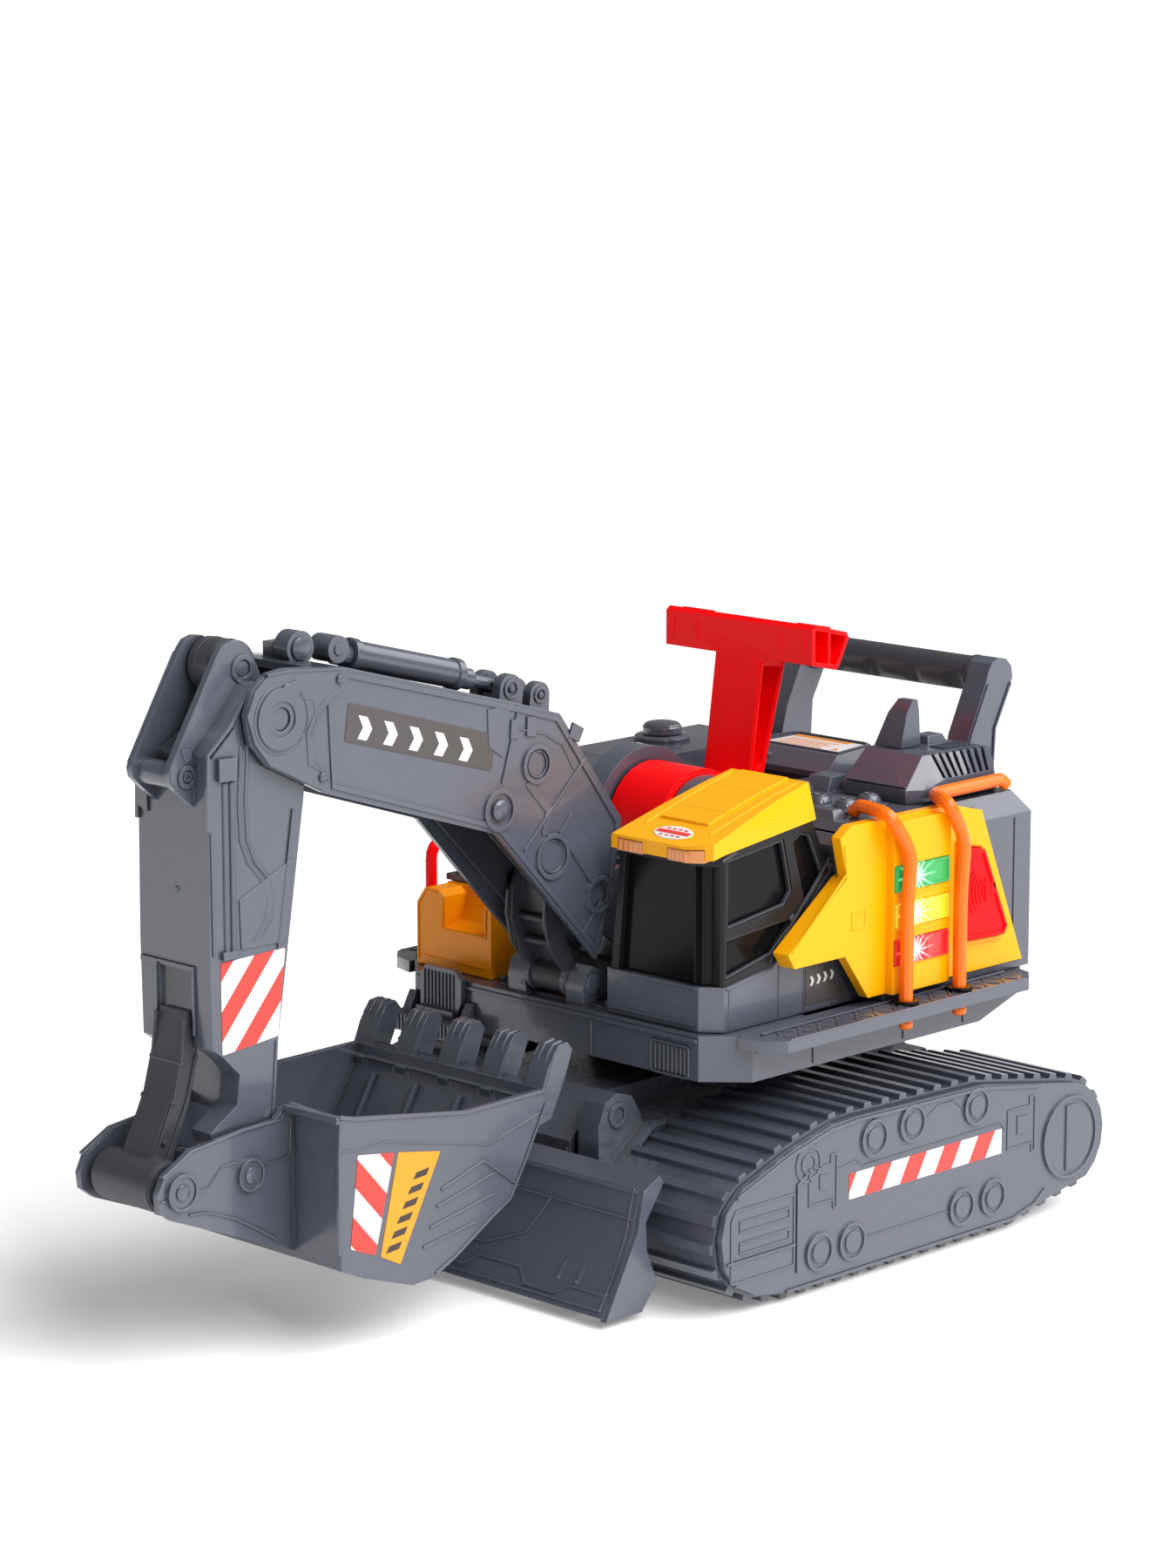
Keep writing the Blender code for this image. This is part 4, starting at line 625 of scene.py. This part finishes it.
def build_house_detail():
    kit = Relief("deck_relief", "house")
    # walkway: edge beads, studs of the tread, webs below
    for side in SIDES:
        kit.tube([(side * 155.2, -88, 145.6), (side * 155.2, 116, 145.6)], 1.1, 8)
        kit.strip("Z", [(side * 137.5, -92), (side * 137.5, 118)], 1.6, WALK_TOP, 147.4)
        for k in range(25):
            y = -82 + 8 * k
            for row in range(2):
                x = side * (141.5 + 8 * row)
                slant = 2.4 if (k + row) % 2 else -2.4
                kit.strip("Z", [(x - slant, y - 2.4), (x + slant, y + 2.4)], 1.3, 145.7, 146.7)
        for y in (-46, 31, 84):
            kit.strip("X", [(y, 122), (y, 138)], 1.3, *span(side, 134.6, 135.9))
        kit.strip("X", [(-94, 136.6), (134, 136.6)], 1.6, *span(side, 134.6, 136))
        # ventilation grille on the front corner of the skirt
        kit.band("Y", rounded(square(side * 77, side * 107, 120, 139), 3),
                 rounded(square(side * 78.3, side * 105.7, 121.3, 137.7), 2.4), -117.3, -115.5)
        for k in range(8):
            x = side * (81 + 3.2 * k)
            kit.plate("Y", square(x - 0.6, x + 0.6, 121.8, 137.2), -117, -115.6)
    kit.strip("Y", [(-112, 142.5), (112, 142.5)], 2.2, -117.2, -115.4)
    kit.strip("Y", [(31, 121), (31, 141)], 1.2, -116.9, -115.4)
    # deck plates round the lift link
    kit.plate("Z", rounded(square(-52, 36, -108, -96), 2), WALK_TOP, 147.2)
    for x in (-54, -46, 30):
        kit.disc("Z", x, -102, [(146.8, 2.4), (149, 2.4), (149.8, 1.2)], 14)
    for x in (ARM[0] - 23, ARM[0] + 23):
        out = math.copysign(1, x - ARM[0])
        kit.disc("X", *LIFT_PIN, [(x + out * 6.2, 6.6), (x + out * 7.6, 6.2), (x + out * 8.4, 4.2)], 26)

    kit = Relief("lift_flanges", "lift_link")
    for side in SIDES:
        lo, hi = sorted((ARM[0] + side * 12.4, ARM[0] + side * 14.6))
        kit.band("X", ring_points(*LIFT_PIN, 10.5), ring_points(*LIFT_PIN, 4.5), lo, hi)
        kit.ring("X", *LIFT_PIN, 9, 7.6, *sorted((ARM[0] + side * 14.4, ARM[0] + side * 15.3)), sides=30)

    kit = Relief("rail_collars", "house", "black_plastic", soft=0.4)
    for y in (20, 67):
        kit.band("Z", ring_points(146, y, 7.6), ring_points(146, y, 4.5), 146.3, 148.4)
    kit = Relief("rail_bosses", "house", "orange_plastic", soft=0.4)
    for y in (20, 67):
        kit.disc("Z", 146, y, [(131.6, 3), (132.6, 4.1), (135.9, 4.1)], 18)
    kit.disc("Z", 112.2, 13, [(250.5, 3), (252.8, 4.4), (254, 4.4)], 16)

    kit = Relief("cover_relief", "house")
    # tread studs on the raised deck, bolts, small boxes and the hatch frame
    for i in range(9):
        for j in range(6):
            x, y = 33 + 7.4 * i + (3.7 if j % 2 else 0), 6 + 8.2 * j
            if (x < 61 or y < 58) and x < 112:
                kit.strip("Z", [(x - 1.5, y - 1.5), (x + 1.5, y + 1.5)], 1.2, DECK_TOP, 251)
                kit.strip("Z", [(x - 1.5, y + 1.5), (x + 1.5, y - 1.5)], 1.2, DECK_TOP, 251)
    for x, y in ((78, 22), (96, 24), (96, 44), (44, 44)):
        kit.loft("Z", [(DECK_TOP, ring_points(x, y, 7.4, 12)), (253, ring_points(x, y, 7.4, 12)),
                       (256.4, ring_points(x, y, 5.2, 12))])
        kit.ring("Z", x, y, 3.4, 2.2, 256.2, 257.2, 12)
    kit.plate("Z", rounded(square(70, 106, 12, 52), 5), 249.5, 251.6)
    kit.loft("Z", [(249.5, square(66, 112, -4, 8)), (255, square(70, 108, -1, 6))])
    kit.loft("Z", [(249.5, square(34, 54, 56, 78)), (258, square(36, 52, 61, 76))])
    kit.strip("Z", [(56.5, -4), (56.5, 130)], 1.4, DECK_TOP, 250.8)
    kit.strip("Z", [(18, 62), (60, 62)], 1.4, DECK_TOP, 250.8)
    for side in SIDES:
        kit.ring("X", *LEVER_PIVOT, 11, 6, *((26.6, 28.4) if side > 0 else (-47.4, -45.6)), sides=30)
        r = 30 if side > 0 else 38
        kit.ring("X", *LEVER_PIVOT, r, r - 2.2, *((26.6, 27.8) if side > 0 else (-46.8, -45.6)), sides=44)
    # rear and right flank: battery door, louvres and seams
    kit.band("Y", rounded(square(-46, 46, 166, 216), 5), rounded(square(-43.6, 43.6, 168.4, 213.6), 4),
             146.4, 148.4)
    for k in range(6):
        kit.plate("Y", rounded(square(-34, 34, 174 + 6.2 * k, 176.8 + 6.2 * k), 1.2), 146.6, 148.2)
    for x in (-40, 40):
        kit.disc("Y", x, 209, [(146.6, 3), (148.6, 3), (149, 1.8)], 16)
    for side in SIDES:
        kit.strip("Y", [(side * 62, 152), (side * 62, 236)], 1.6, 146.5, 147.9)
        kit.plate("Y", rounded(square(side * 72, side * 110, 158, 226), 4), 146.5, 147.8)
        kit.strip("X", [(129.5, 152), (129.5, 236)], 1.3, *span(side, 133.5, 134.8))
    for k in range(7):
        kit.plate("X", rounded(square(14 + 11 * k, 19 + 11 * k, 246.5, 248), 0.5), -127.5, -125.5)

    kit = Relief("seat_relief", "house")
    rim = [(-44.5, 99.5), (24, 99.5), (18.8, 132.8), (13.2, 137.5), (-39.4, 137.5), (-44.5, 132.8)]
    kit.band("Z", rim, inset(rim, 1.8), 262.8, 263.9)
    kit.plate("Z", rounded(square(-38, -20, 86.5, 92), 1), 254, 259.6)
    kit = printed("seat_label", "house", WHITE_FILM)
    kit.plate("Z", rounded([(-36, 103), (20, 103), (16, 131.5), (-36, 131.5)], 1.5), 262.9, 263.25)
    kit = printed("seat_label_marks", "house", AMBER_FILM)
    kit.plate("Z", square(-35, 8, 126, 130.8), LABEL_TOP, 263.45)
    kit.plate("Z", ring_points(14, 108, 3.2, 3, math.pi / 2), LABEL_TOP, 263.45)
    for k in range(5):
        kit.plate("Z", [(-32, 104.8 + 3.8 * k), (6 - 5 * (k % 2), 104.8 + 3.8 * k),
                        (6 - 5 * (k % 2), 106 + 3.8 * k), (-32, 106 + 3.8 * k)], LABEL_TOP, 263.4)

    kit = Relief("vent_relief", "house")
    kit.strip("Z", [(66, 92), (66, 127)], 1.2, 274.6, 275.8)
    for k in range(9):
        kit.box(88.5, 101, 106 + 2.7 * k - 0.6, 106 + 2.7 * k + 0.6, 274.7, 275.9)
    kit.loft("Z", [(274.8, square(69, 84, 110, 127)), (279.5, square(71, 82, 112, 125.5))])
    kit.strip("Y", [(64.5, 259.5), (109.5, 259.5)], 1.2, 60, 61.5)

    kit = Relief("handle_relief", "house")
    for side in SIDES:
        lo, hi = span(side, 79.4, 81.2)
        kit.strip("X", [(149, 258), (154, 274), (169, 303)], 1.6, lo, hi)
        kit.strip("X", [(173, 205), (173, 240), (175.4, 276), (189.5, 302)], 1.6, lo, hi)
        kit.plate("X", [(150.5, 202), (170.5, 205), (170.5, 240), (156, 256), (150.5, 250)],
                  *span(side, 79.4, 80.7))
        kit.loft("Z", [(196, square(side * 64.6, side * 80.6, 146.6, 149)),
                       (258, square(side * 64.6, side * 80.6, 146.6, 149))])
    kit = Relief("grip_collars", "house", "dark_plastic", soft=0.4)
    for side in SIDES:
        kit.ring("X", 180, 306, 11.6, 9.9, *span(side, 60.6, 63.9), sides=36)

    kit = Relief("locker_relief", "house", "yellow_plastic", MATS["locker"])
    kit.strip("Y", [(-102.2, 188), (-102.2, 169.8), (-66.2, 169.8), (-66.2, 187)], 1.8, -105, -103.6)
    kit.strip("Y", [(-122.6, 149), (-122.6, 182), (-116.6, 191), (-107, 191)], 1.4, -104.8, -103.6)
    kit.strip("Y", [(-120, 152), (-65, 152)], 1.2, -104.8, -103.6)
    kit.strip("X", [(-100, 186.6), (-90, 192), (-26, 192)], 1.4, -62.6, -61.2)
    kit.ring("X", -60, 166, 9, 7.4, -124.9, -123.6, 28)
    kit = Relief("locker_lid_relief", "house", "dark_plastic")
    rim = square(-119.5, -66.5, -79.5, -26.5)
    kit.band("Z", rounded(rim, 4), rounded(inset(rim, 1.8), 3), 196.8, 197.9)
    for k in range(6):
        kit.box(-112, -106, -73 + 7.5 * k, -71.6 + 7.5 * k, 196.8, 197.6)

    kit = Relief("step_relief", "house")
    for k in range(19):
        x = -116.5 + 3 * k
        kit.box(x - 0.6, x + 0.6, -132.6, -121, 122.4, 123.7)
        kit.box(x - 0.6, x + 0.6, -132.9, -131.6, 114, 123.2)
    for k in range(9):
        x = -100.5 + 3 * k
        kit.box(x - 0.6, x + 0.6, -121.5, -120, 129, 149.5)

    kit = Relief("cap_relief", "house")
    kit.disc("Z", *FILLER, [(261.6, 17), (264.4, 17), (265.4, 15.6), (265.6, 12)], 40)
    kit.disc("Z", *FILLER, [(270.8, 11.6), (272.6, 9.6), (273.4, 5)], 36)


def build_cab_detail():
    kit = Relief("cab_base_relief", "house")
    kit.strip("Y", [(41, 170.9), (108, 170.9)], 1.6, -112.9, -111.5)
    kit.strip("X", [(-101.5, 170.6), (-63, 176.4)], 1.5, SKIRT_SIDE, 120.8)
    kit.strip("X", [(-99, 147.5), (-99, 170)], 1, SKIRT_SIDE, 120.5)
    kit.strip("X", [(-58.6, 148), (-58.6, 177)], 1, SKIRT_SIDE, 120.5)
    kit.strip("Y", [(43, 150), (106, 150)], 1.2, -112.7, -111.5)
    label = [(-36.5, 150.4), (-36.5, 176.2), (-20.6, 177.2), (-1.4, 150.4)]
    kit = printed("cab_label", "house", LABEL_FILM)
    kit.plate("X", rounded(label, 0.8), 119.8, 120.4)
    kit = printed("cab_label_marks", "house", WHITE_FILM)
    for k in range(4):
        y, z = -33 + 5.6 * k, 161 + 0.4 * k
        kit.plate("X", [(y, z), (y + 2, z), (y + 3.6, z + 2.8), (y + 2, z + 5.6), (y, z + 5.6),
                        (y + 1.6, z + 2.8)], 120.35, 120.55)
    kit = Relief("corner_relief", "house")
    kit.strip("X", [(-37.6, 148), (-37.6, 177)], 1, 119.6, 120.5)

    kit = Relief("cab_window_trim", "house", "dark_plastic", soft=0.3)
    for outline in ([(-100.8, 203.8), (-100.8, 242.6), (-55, 248.2), (-47.5, 217.6), (-53.8, 210.2)],
                    [(-102, 175.6), (-102, 198.8), (-48.5, 202.9), (-46.5, 199.2), (-65, 183.8)],
                    [(-48.3, 245.5), (-40, 249.8), (-32.5, 247.5), (-20.5, 222), (-37, 206.5)]):
        kit.band("X", outline, inset(outline, 1.3), 116.6, 119.2)
    kit.strip("X", [(-49, 204), (-44.5, 196), (-45, 190)], 4, 119, 120.9)
    kit.strip("X", [(-67, 180), (-17, 232)], 1.5, 119.5, 121)
    kit.strip("X", [(-105, 243), (-94, 246.5)], 2, 119, 120.6)
    kit = Relief("cab_dash", "house", "black_plastic", soft=0.3)
    kit.strip("Y", [(106.5, 174), (106.5, 239)], 1, -112.6, -108)
    kit.plate("X", [(-63.5, 184.6), (-48.5, 199.5), (-49.5, 201), (-65.5, 185.6)], 115, 118.6)

    def top(y):
        """Height of the roof's top surface at a place from front to back."""
        return between([(-121, 251.5), (-84, 263.5), (-57, 271.5), (-33.5, 277.2)], y)

    def roof_plate(kit, outline, low, high):
        kit.walls([[kit.bm.verts.new(M(x, y, top(y) + lift)) for x, y in outline] for lift in (low, high)])

    kit = Relief("roof_relief", "house", "yellow_plastic", soft=0.5)
    for rows in ([-98, -84, -57], [-57, -35]):
        for y0, y1 in zip(rows, rows[1:]):
            def edge(y):
                return 66.5 + 0.06 * (y + 98), 103 + 0.03 * (y + 98)
            (a0, b0), (a1, b1) = edge(y0), edge(y1)
            roof_plate(kit, [(a0, y0), (b0, y0), (b1, y1), (a1, y1)], -1, 1.5)
    for x0, x1 in ((62, 63.4), (110.6, 112)):
        for y0, y1 in ((-106, -84), (-84, -57), (-57, -37)):
            roof_plate(kit, [(x0 + 0.03 * (y0 + 98), y0), (x1 + 0.03 * (y0 + 98), y0),
                             (x1 + 0.03 * (y1 + 98), y1), (x0 + 0.03 * (y1 + 98), y1)], -0.8, 0.7)
    kit = printed("roof_badge", "house", WHITE_FILM, "yellow_plastic")
    roof_plate(kit, [(88 + 13.5 * x, -110 + 6.4 * y) for x, y in ring_points(0, 0, 1)], -0.3, 0.35)
    kit = printed("roof_badge_marks", "house", RED_FILM, "yellow_plastic")
    roof_plate(kit, square(76, 100, -111.6, -108.4), 0.3, 0.5)
    for k in range(4):
        x = 80.5 + 4.2 * k
        roof_plate(kit, square(x, x + 2.6, -114.2, -113), 0.3, 0.5)
        roof_plate(kit, square(x, x + 2.6, -107.2, -106), 0.3, 0.5)

    kit = Relief("headlamp_ribs", "house", "amber_lens", soft=0.2)
    for x0, x1 in ((55.4, 74.6), (93.4, 108)):
        for k in range(5):
            x = x0 + (x1 - x0) * (k + 0.5) / 5
            kit.box(x - 1.1, x + 1.1, -120.95, -119.5, 243.2, 248.8)


def build_side_detail():
    kit = Relief("panel_relief", "house", "yellow_plastic")
    kit.strip("X", [(-64, 187.5), (-19.5, 225), (-21, 242)], 1.6, PANEL_SIDE, 135.7)
    kit.band("X", rounded(square(-15, -3, 192, 203), 1.5), rounded(square(-14, -4, 193, 202), 1), 134.7,
             135.5)
    kit.band("X", [(74.5, 230.5), (98.6, 226), (121.5, 174.5), (117, 166.5), (74.5, 168)],
             [(76.8, 228), (96.8, 224.2), (118.8, 175.2), (115.4, 168.9), (76.8, 170.4)], PANEL_SIDE, 136.4)
    kit.strip("X", [(68.6, 153), (68.6, 248)], 1.6, PANEL_SIDE, 135.8)
    for z in (207, 185.6):
        kit.strip("X", [(16, z), (62, z)], 1, 140.2, 141)
    # right panel
    kit.strip("X", [(-20, 180), (2, 154), (134, 154)], 1.6, -135.8, -PANEL_SIDE)
    kit.band("X", rounded([(14, 166), (104, 166), (84, 236), (14, 236)], 5),
             rounded([(16.2, 168.2), (101, 168.2), (82.2, 233.8), (16.2, 233.8)], 4), -136, -PANEL_SIDE)
    for k in range(7):
        z = 176 + 8 * k
        kit.plate("X", rounded([(26, z), (92 - 2.2 * k, z), (91 - 2.2 * k, z + 3), (26, z + 3)], 1.2), -136,
                  -PANEL_SIDE)

    kit = Relief("horn_relief", "horn_button", "red_plastic", soft=0.25)
    outline = [(78.6, 225.9), (95.6, 222.5), (116.8, 175), (114.1, 170.6), (78.6, 172.1)]
    kit.band("X", outline, inset(outline, 2), HORN_FACE, 140.4)
    for r in (7, 10, 13, 16, 19):
        angles = [math.radians(-42 + 12 * i) for i in range(8)]
        arc = [(101 - r * math.cos(a), 199 + r * math.sin(a)) for a in angles]
        kit.strip("X", arc, 1.1, HORN_FACE, 140.1)
    kit.plate("X", rounded([(101, 195), (105.5, 196.2), (105.5, 202), (101, 203.2)], 0.8), HORN_FACE, 140.4)
    kit.plate("X", [(96.5, 192), (100.5, 194.5), (100.5, 203.7), (96.5, 206.2)], HORN_FACE, 140.2)

    for word, z0, z1 in (("green", 210, 224.5), ("yellow", 189, 203), ("red", 167.5, 182)):
        kit = Relief("lens_rim_" + word, "house", word + "_lens", soft=0.25)
        kit.band("X", rounded(square(15.8, 61.8, z0 + 0.2, z1 - 0.2), 2),
                 rounded(square(17.2, 60.4, z0 + 1.6, z1 - 1.6), 1.2), 140.9, 141.9)
        kit.disc("X", 38.5, (z0 + z1) / 2, [(140.8, 5.6), (141.6, 5), (142.2, 3)], 28)

    kit = Relief("lever_relief", "lever", "red_plastic", soft=0.4)
    for side in SIDES:
        x = ARM[0] + side * 17.5
        lo, hi = sorted((x - side * 0.6, x + side * 0.9))
        kit.strip("X", [(37.6, 256), (47.4, 323)], 1.4, lo, hi)
        kit.strip("X", [(48.4, 256.5), (66.2, 320.5)], 1.4, lo, hi)
        x = ARM[0] + side * 20
        lo, hi = sorted((x - side * 0.5, x + side * 0.9))
        kit.ring("X", *LEVER_PIVOT, 33.5, 31, lo, hi, 40)
        kit.ring("X", *LEVER_PIVOT, 10.5, 6.6, lo, hi, 28)
    for x in (-60, -41, 25, 44):
        kit.strip("Y", [(x, 329), (x, 342.5)], 1, 45.4, 46.6)


def build_undercarriage_detail():
    kit = Relief("plate_relief", "undercarriage")
    for side in SIDES:
        lo, hi = span(side, TRACK_SIDE, 163.6)
        flat = span(side, TRACK_SIDE, 163.1)
        for y, z in ((-71, 24), (-43.5, 24), (51.5, 24), (79.5, 24), (-25.5, 80), (7, 82), (63.5, 81)):
            kit.ring("X", y, z, 5.2, 3.9, *span(side, 163.5, 163.97), sides=28)
            kit.disc("X", y, z, [(side * 162.6, 7.6), (side * 163.3, 7)], 28)
        kit.ring("X", *SMALL_ROLLER, 10.8, 8.8, *flat, sides=34)
        kit.ring("X", *SMALL_ROLLER, 6, 4.6, *flat, sides=28)
        kit.band("X", rounded([(-143, 20), (-91, 20), (-91, 62), (-139, 62), (-143, 56)], 2),
                 rounded([(-141.6, 21.4), (-92.4, 21.4), (-92.4, 60.6), (-138.4, 60.6), (-141.6, 55.4)],
                         1.6), *flat)
        for z in (48, 36):
            kit.band("X", square(-136, -95, z, z + 7), square(-134.8, -96.2, z + 1.2, z + 5.8), *flat)
        kit.strip("X", [(-146, 32.5), (-91, 32.5)], 1.4, lo, hi)
        kit.strip("X", [(-89, 16), (-89, 66), (-82, 70)], 1.6, lo, hi)
        for y0, y1, z0, z1 in ((-80, -56, 51, 78), (92, 118, 49, 78)):
            outer = [(y0, z0), (y1 - 4, z0), (y1 - 4, z0 - 5), (y1, z0 - 5), (y1, z1), (y1 - 6, z1),
                     (y1 - 6, z1 - 5), (y0, z1 - 5)]
            inner = [(y0 + 1.3, z0 + 1.3), (y1 - 2.7, z0 + 1.3), (y1 - 2.7, z0 - 3.7), (y1 - 1.3, z0 - 3.7),
                     (y1 - 1.3, z1 - 1.3), (y1 - 4.7, z1 - 1.3), (y1 - 4.7, z1 - 6.3), (y0 + 1.3, z1 - 6.3)]
            kit.band("X", outer, inner, *flat)
            kit.plate("X", [(y0 + 9, z0 + 8), (y1 - 8, z0 + 7), (y1 - 6, z0 + 14), (y1 - 8, z1 - 11),
                            (y0 + 9, z1 - 10)], *flat)
        kit.strip("X", [(-56, 68), (-40, 70), (-34, 66), (86, 66.5), (90, 62)], 1, *flat)
        kit.strip("X", [(-32, 24), (40, 24)], 1, *flat)
        kit.strip("X", [(18, 82), (30, 88), (44, 88), (52, 82)], 1, *flat)
        edge = [(-98, 7), (0, 7), (98, 7), (118, 12), (128, 19)]
        kit.strip("X", edge, 1.8, lo, hi)
        kit.strip("X", [(-138, 68), (-96, 83), (-62, 91.5), (-40, 93), (70, 90.5), (120, 82.5)], 1.8, lo,
                  hi)

    film = stripes("track_film", (0, 0.86, -0.5), 26, 0.12)
    kit = printed("track_stickers", "undercarriage", film)
    for side in SIDES:
        kit.plate("X", square(-46, 87, 48.6, 63.2), *span(side, 162.3, 162.75))

    kit = Relief("blade_relief", "undercarriage", soft=0.4)

    def face(z, out):
        """Place of the blade's front surface at a height."""
        return between([(6, -202), (26, -189), (50, -178), (60, -176), (72, -172.5), (78, -160)], z) - out

    def face_strip(kit, line, width, out=0.9):
        """A raised line that follows the blade's curved face."""
        fine = []
        for (x0, z0), (x1, z1) in zip(line, line[1:]):
            steps = max(1, int(abs(z1 - z0) / 5))
            for k in range(steps):
                fine.append((x0 + (x1 - x0) * k / steps, z0 + (z1 - z0) * k / steps))
        fine.append(line[-1])
        rings = []
        for i, (x, z) in enumerate(fine):
            nx, nz = fine[min(i + 1, len(fine) - 1)]
            px, pz = fine[max(i - 1, 0)]
            ahead = Vector((nx - px, nz - pz)).normalized()
            sx, sz = -ahead.y * width / 2, ahead.x * width / 2
            section = ((1, -0.8), (0.6, out), (-0.6, out), (-1, -0.8))
            places = [M(x + sx * k, face(z + sz * k, lift), z + sz * k) for k, lift in section]
            rings.append([kit.bm.verts.new(place) for place in places])
        kit.walls(rings)

    face_strip(kit, [(-122, 70.5), (122, 70.5)], 2.4)
    face_strip(kit, [(-122, 56.5), (122, 56.5)], 1.6)
    face_strip(kit, [(-120, 17), (-92, 17), (-84, 12), (-60, 12), (-52, 19), (-20, 19), (-12, 13), (12, 13),
                     (20, 19), (52, 19), (60, 12), (84, 12), (92, 17), (120, 17)], 1.8)
    face_strip(kit, [(-120, 9.5), (120, 9.5)], 1.6)
    for side in SIDES:
        face_strip(kit, [(side * 119, 9), (side * 119, 72)], 1.8)
        face_strip(kit, [(side * 60, 57), (side * 48, 36), (side * 22, 26), (0, 24.5)], 1.4)

    kit = Relief("chassis_relief", "undercarriage")
    for side in SIDES:
        kit.strip("X", [(-140, 30), (-140, 66), (-113, 87.5), (118, 87.5)], 1.6, *span(side, 76, 77.6))
        kit.ring("X", *BLADE_LUG, 7.4, 4.4, *span(side, 67.6, 69.2), sides=26)
        kit.ring("X", *BLADE_LUG, 7.4, 4.4, *span(side, 51, 52.4), sides=26)
        kit.strip("Y", [(side * 44, 30), (side * 44, 76)], 1.8, -149.9, -148.6)
        kit.strip("Y", [(side * 44, 30), (side * 44, 72)], 1.8, 147.6, 148.9)
    for k in range(5):
        kit.box(-36, 36, 147.6, 149, 34 + 8 * k, 37 + 8 * k)

    kit = Relief("shoe_relief", "undercarriage", soft=0.3)
    for side in SIDES:
        for k in range(17):
            y = -92 + 11 * k
            kit.box(*span(side, 77.4, 80), y - 2, y + 2, 2.2, 5.2)


build_arm_detail()
build_stick_detail()
build_bucket_detail()
build_house_detail()
build_cab_detail()
build_side_detail()
build_undercarriage_detail()
for kit in KITS:
    kit.done()


# ------------------------------------------------------------------ stage
WHITE_PAPER = (0.93, 0.93, 0.93)
GLOW = (1, 1, 1)
FLOOR_HALF = 90
FOCAL_LENGTH = 100.6
CAMERA_RANGE = 2.6
# turn and dip of the camera, and how far the foot of the slew axis lies off its axis, as slopes
TURN, DIP = math.radians(44.5), math.radians(10.91)
ACROSS, BELOW = 0.02366746, 0.09693715


def area(name, place, aim, size, power):
    lamp = bpy.data.lights.new(name, "AREA")
    lamp.shape = "RECTANGLE"
    lamp.size, lamp.size_y = size
    lamp.energy = power
    made = bpy.data.objects.new(name, lamp)
    bpy.context.scene.collection.objects.link(made)
    made.location = place
    made.rotation_mode = "QUATERNION"
    made.rotation_quaternion = (Vector(aim) - Vector(place)).to_track_quat("-Z", "Y")


def build_stage():
    bm = bmesh.new()
    bmesh.ops.create_grid(bm, x_segments=2, y_segments=2, size=FLOOR_HALF)
    mesh = bpy.data.meshes.new("floor")
    bm.to_mesh(mesh)
    bm.free()
    floor = bpy.data.objects.new("floor", mesh)
    bpy.context.scene.collection.objects.link(floor)
    paper = Look("paper")
    paper.feed(paper.shader, {"Base Color": shade(WHITE_PAPER), "Roughness": 0.75,
                              "Emission Color": shade(GLOW), "Emission Strength": 0.2})
    floor.data.materials.append(paper.made)
    world = bpy.data.worlds.new("studio")
    world.use_nodes = True
    bpy.context.scene.world = world
    back = world.node_tree.nodes["Background"]
    back.inputs["Color"].default_value = shade(GLOW)
    back.inputs["Strength"].default_value = 0.24
    sun = bpy.data.lights.new("softbox", "SUN")
    sun.energy = 3.8
    sun.angle = math.radians(55)
    made = bpy.data.objects.new("softbox", sun)
    bpy.context.scene.collection.objects.link(made)
    made.rotation_mode = "QUATERNION"
    made.rotation_quaternion = Vector((-1.2, -0.5, -1.45)).to_track_quat("-Z", "Y")
    area("key", (2.2, -1.1, 1.7), (0, 0, 0.15), (0.28, 0.9), 18)
    area("rim", (0.6, 2.4, 1.7), (0, 0, 0.2), (2.0, 1.0), 16)
    bpy.context.scene.view_settings.view_transform = "Standard"


def build_camera():
    data = bpy.data.cameras.new("camera")
    data.lens = FOCAL_LENGTH
    data.sensor_width = 36.0
    data.sensor_fit = "AUTO"
    camera = bpy.data.objects.new("camera", data)
    bpy.context.scene.collection.objects.link(camera)
    bpy.context.scene.camera = camera
    forward = Vector((-math.sin(TURN) * math.cos(DIP), math.cos(TURN) * math.cos(DIP), -math.sin(DIP)))
    right = Vector((math.cos(TURN), math.sin(TURN), 0))
    up = right.cross(forward)
    to_foot = (forward + right * ACROSS - up * BELOW).normalized()
    camera.location = Vector((0, SLEW_Y / MM, 0)) - to_foot * CAMERA_RANGE
    camera.rotation_mode = "QUATERNION"
    camera.rotation_quaternion = Matrix((right, up, -forward)).transposed().to_quaternion()


build_camera()
build_stage()
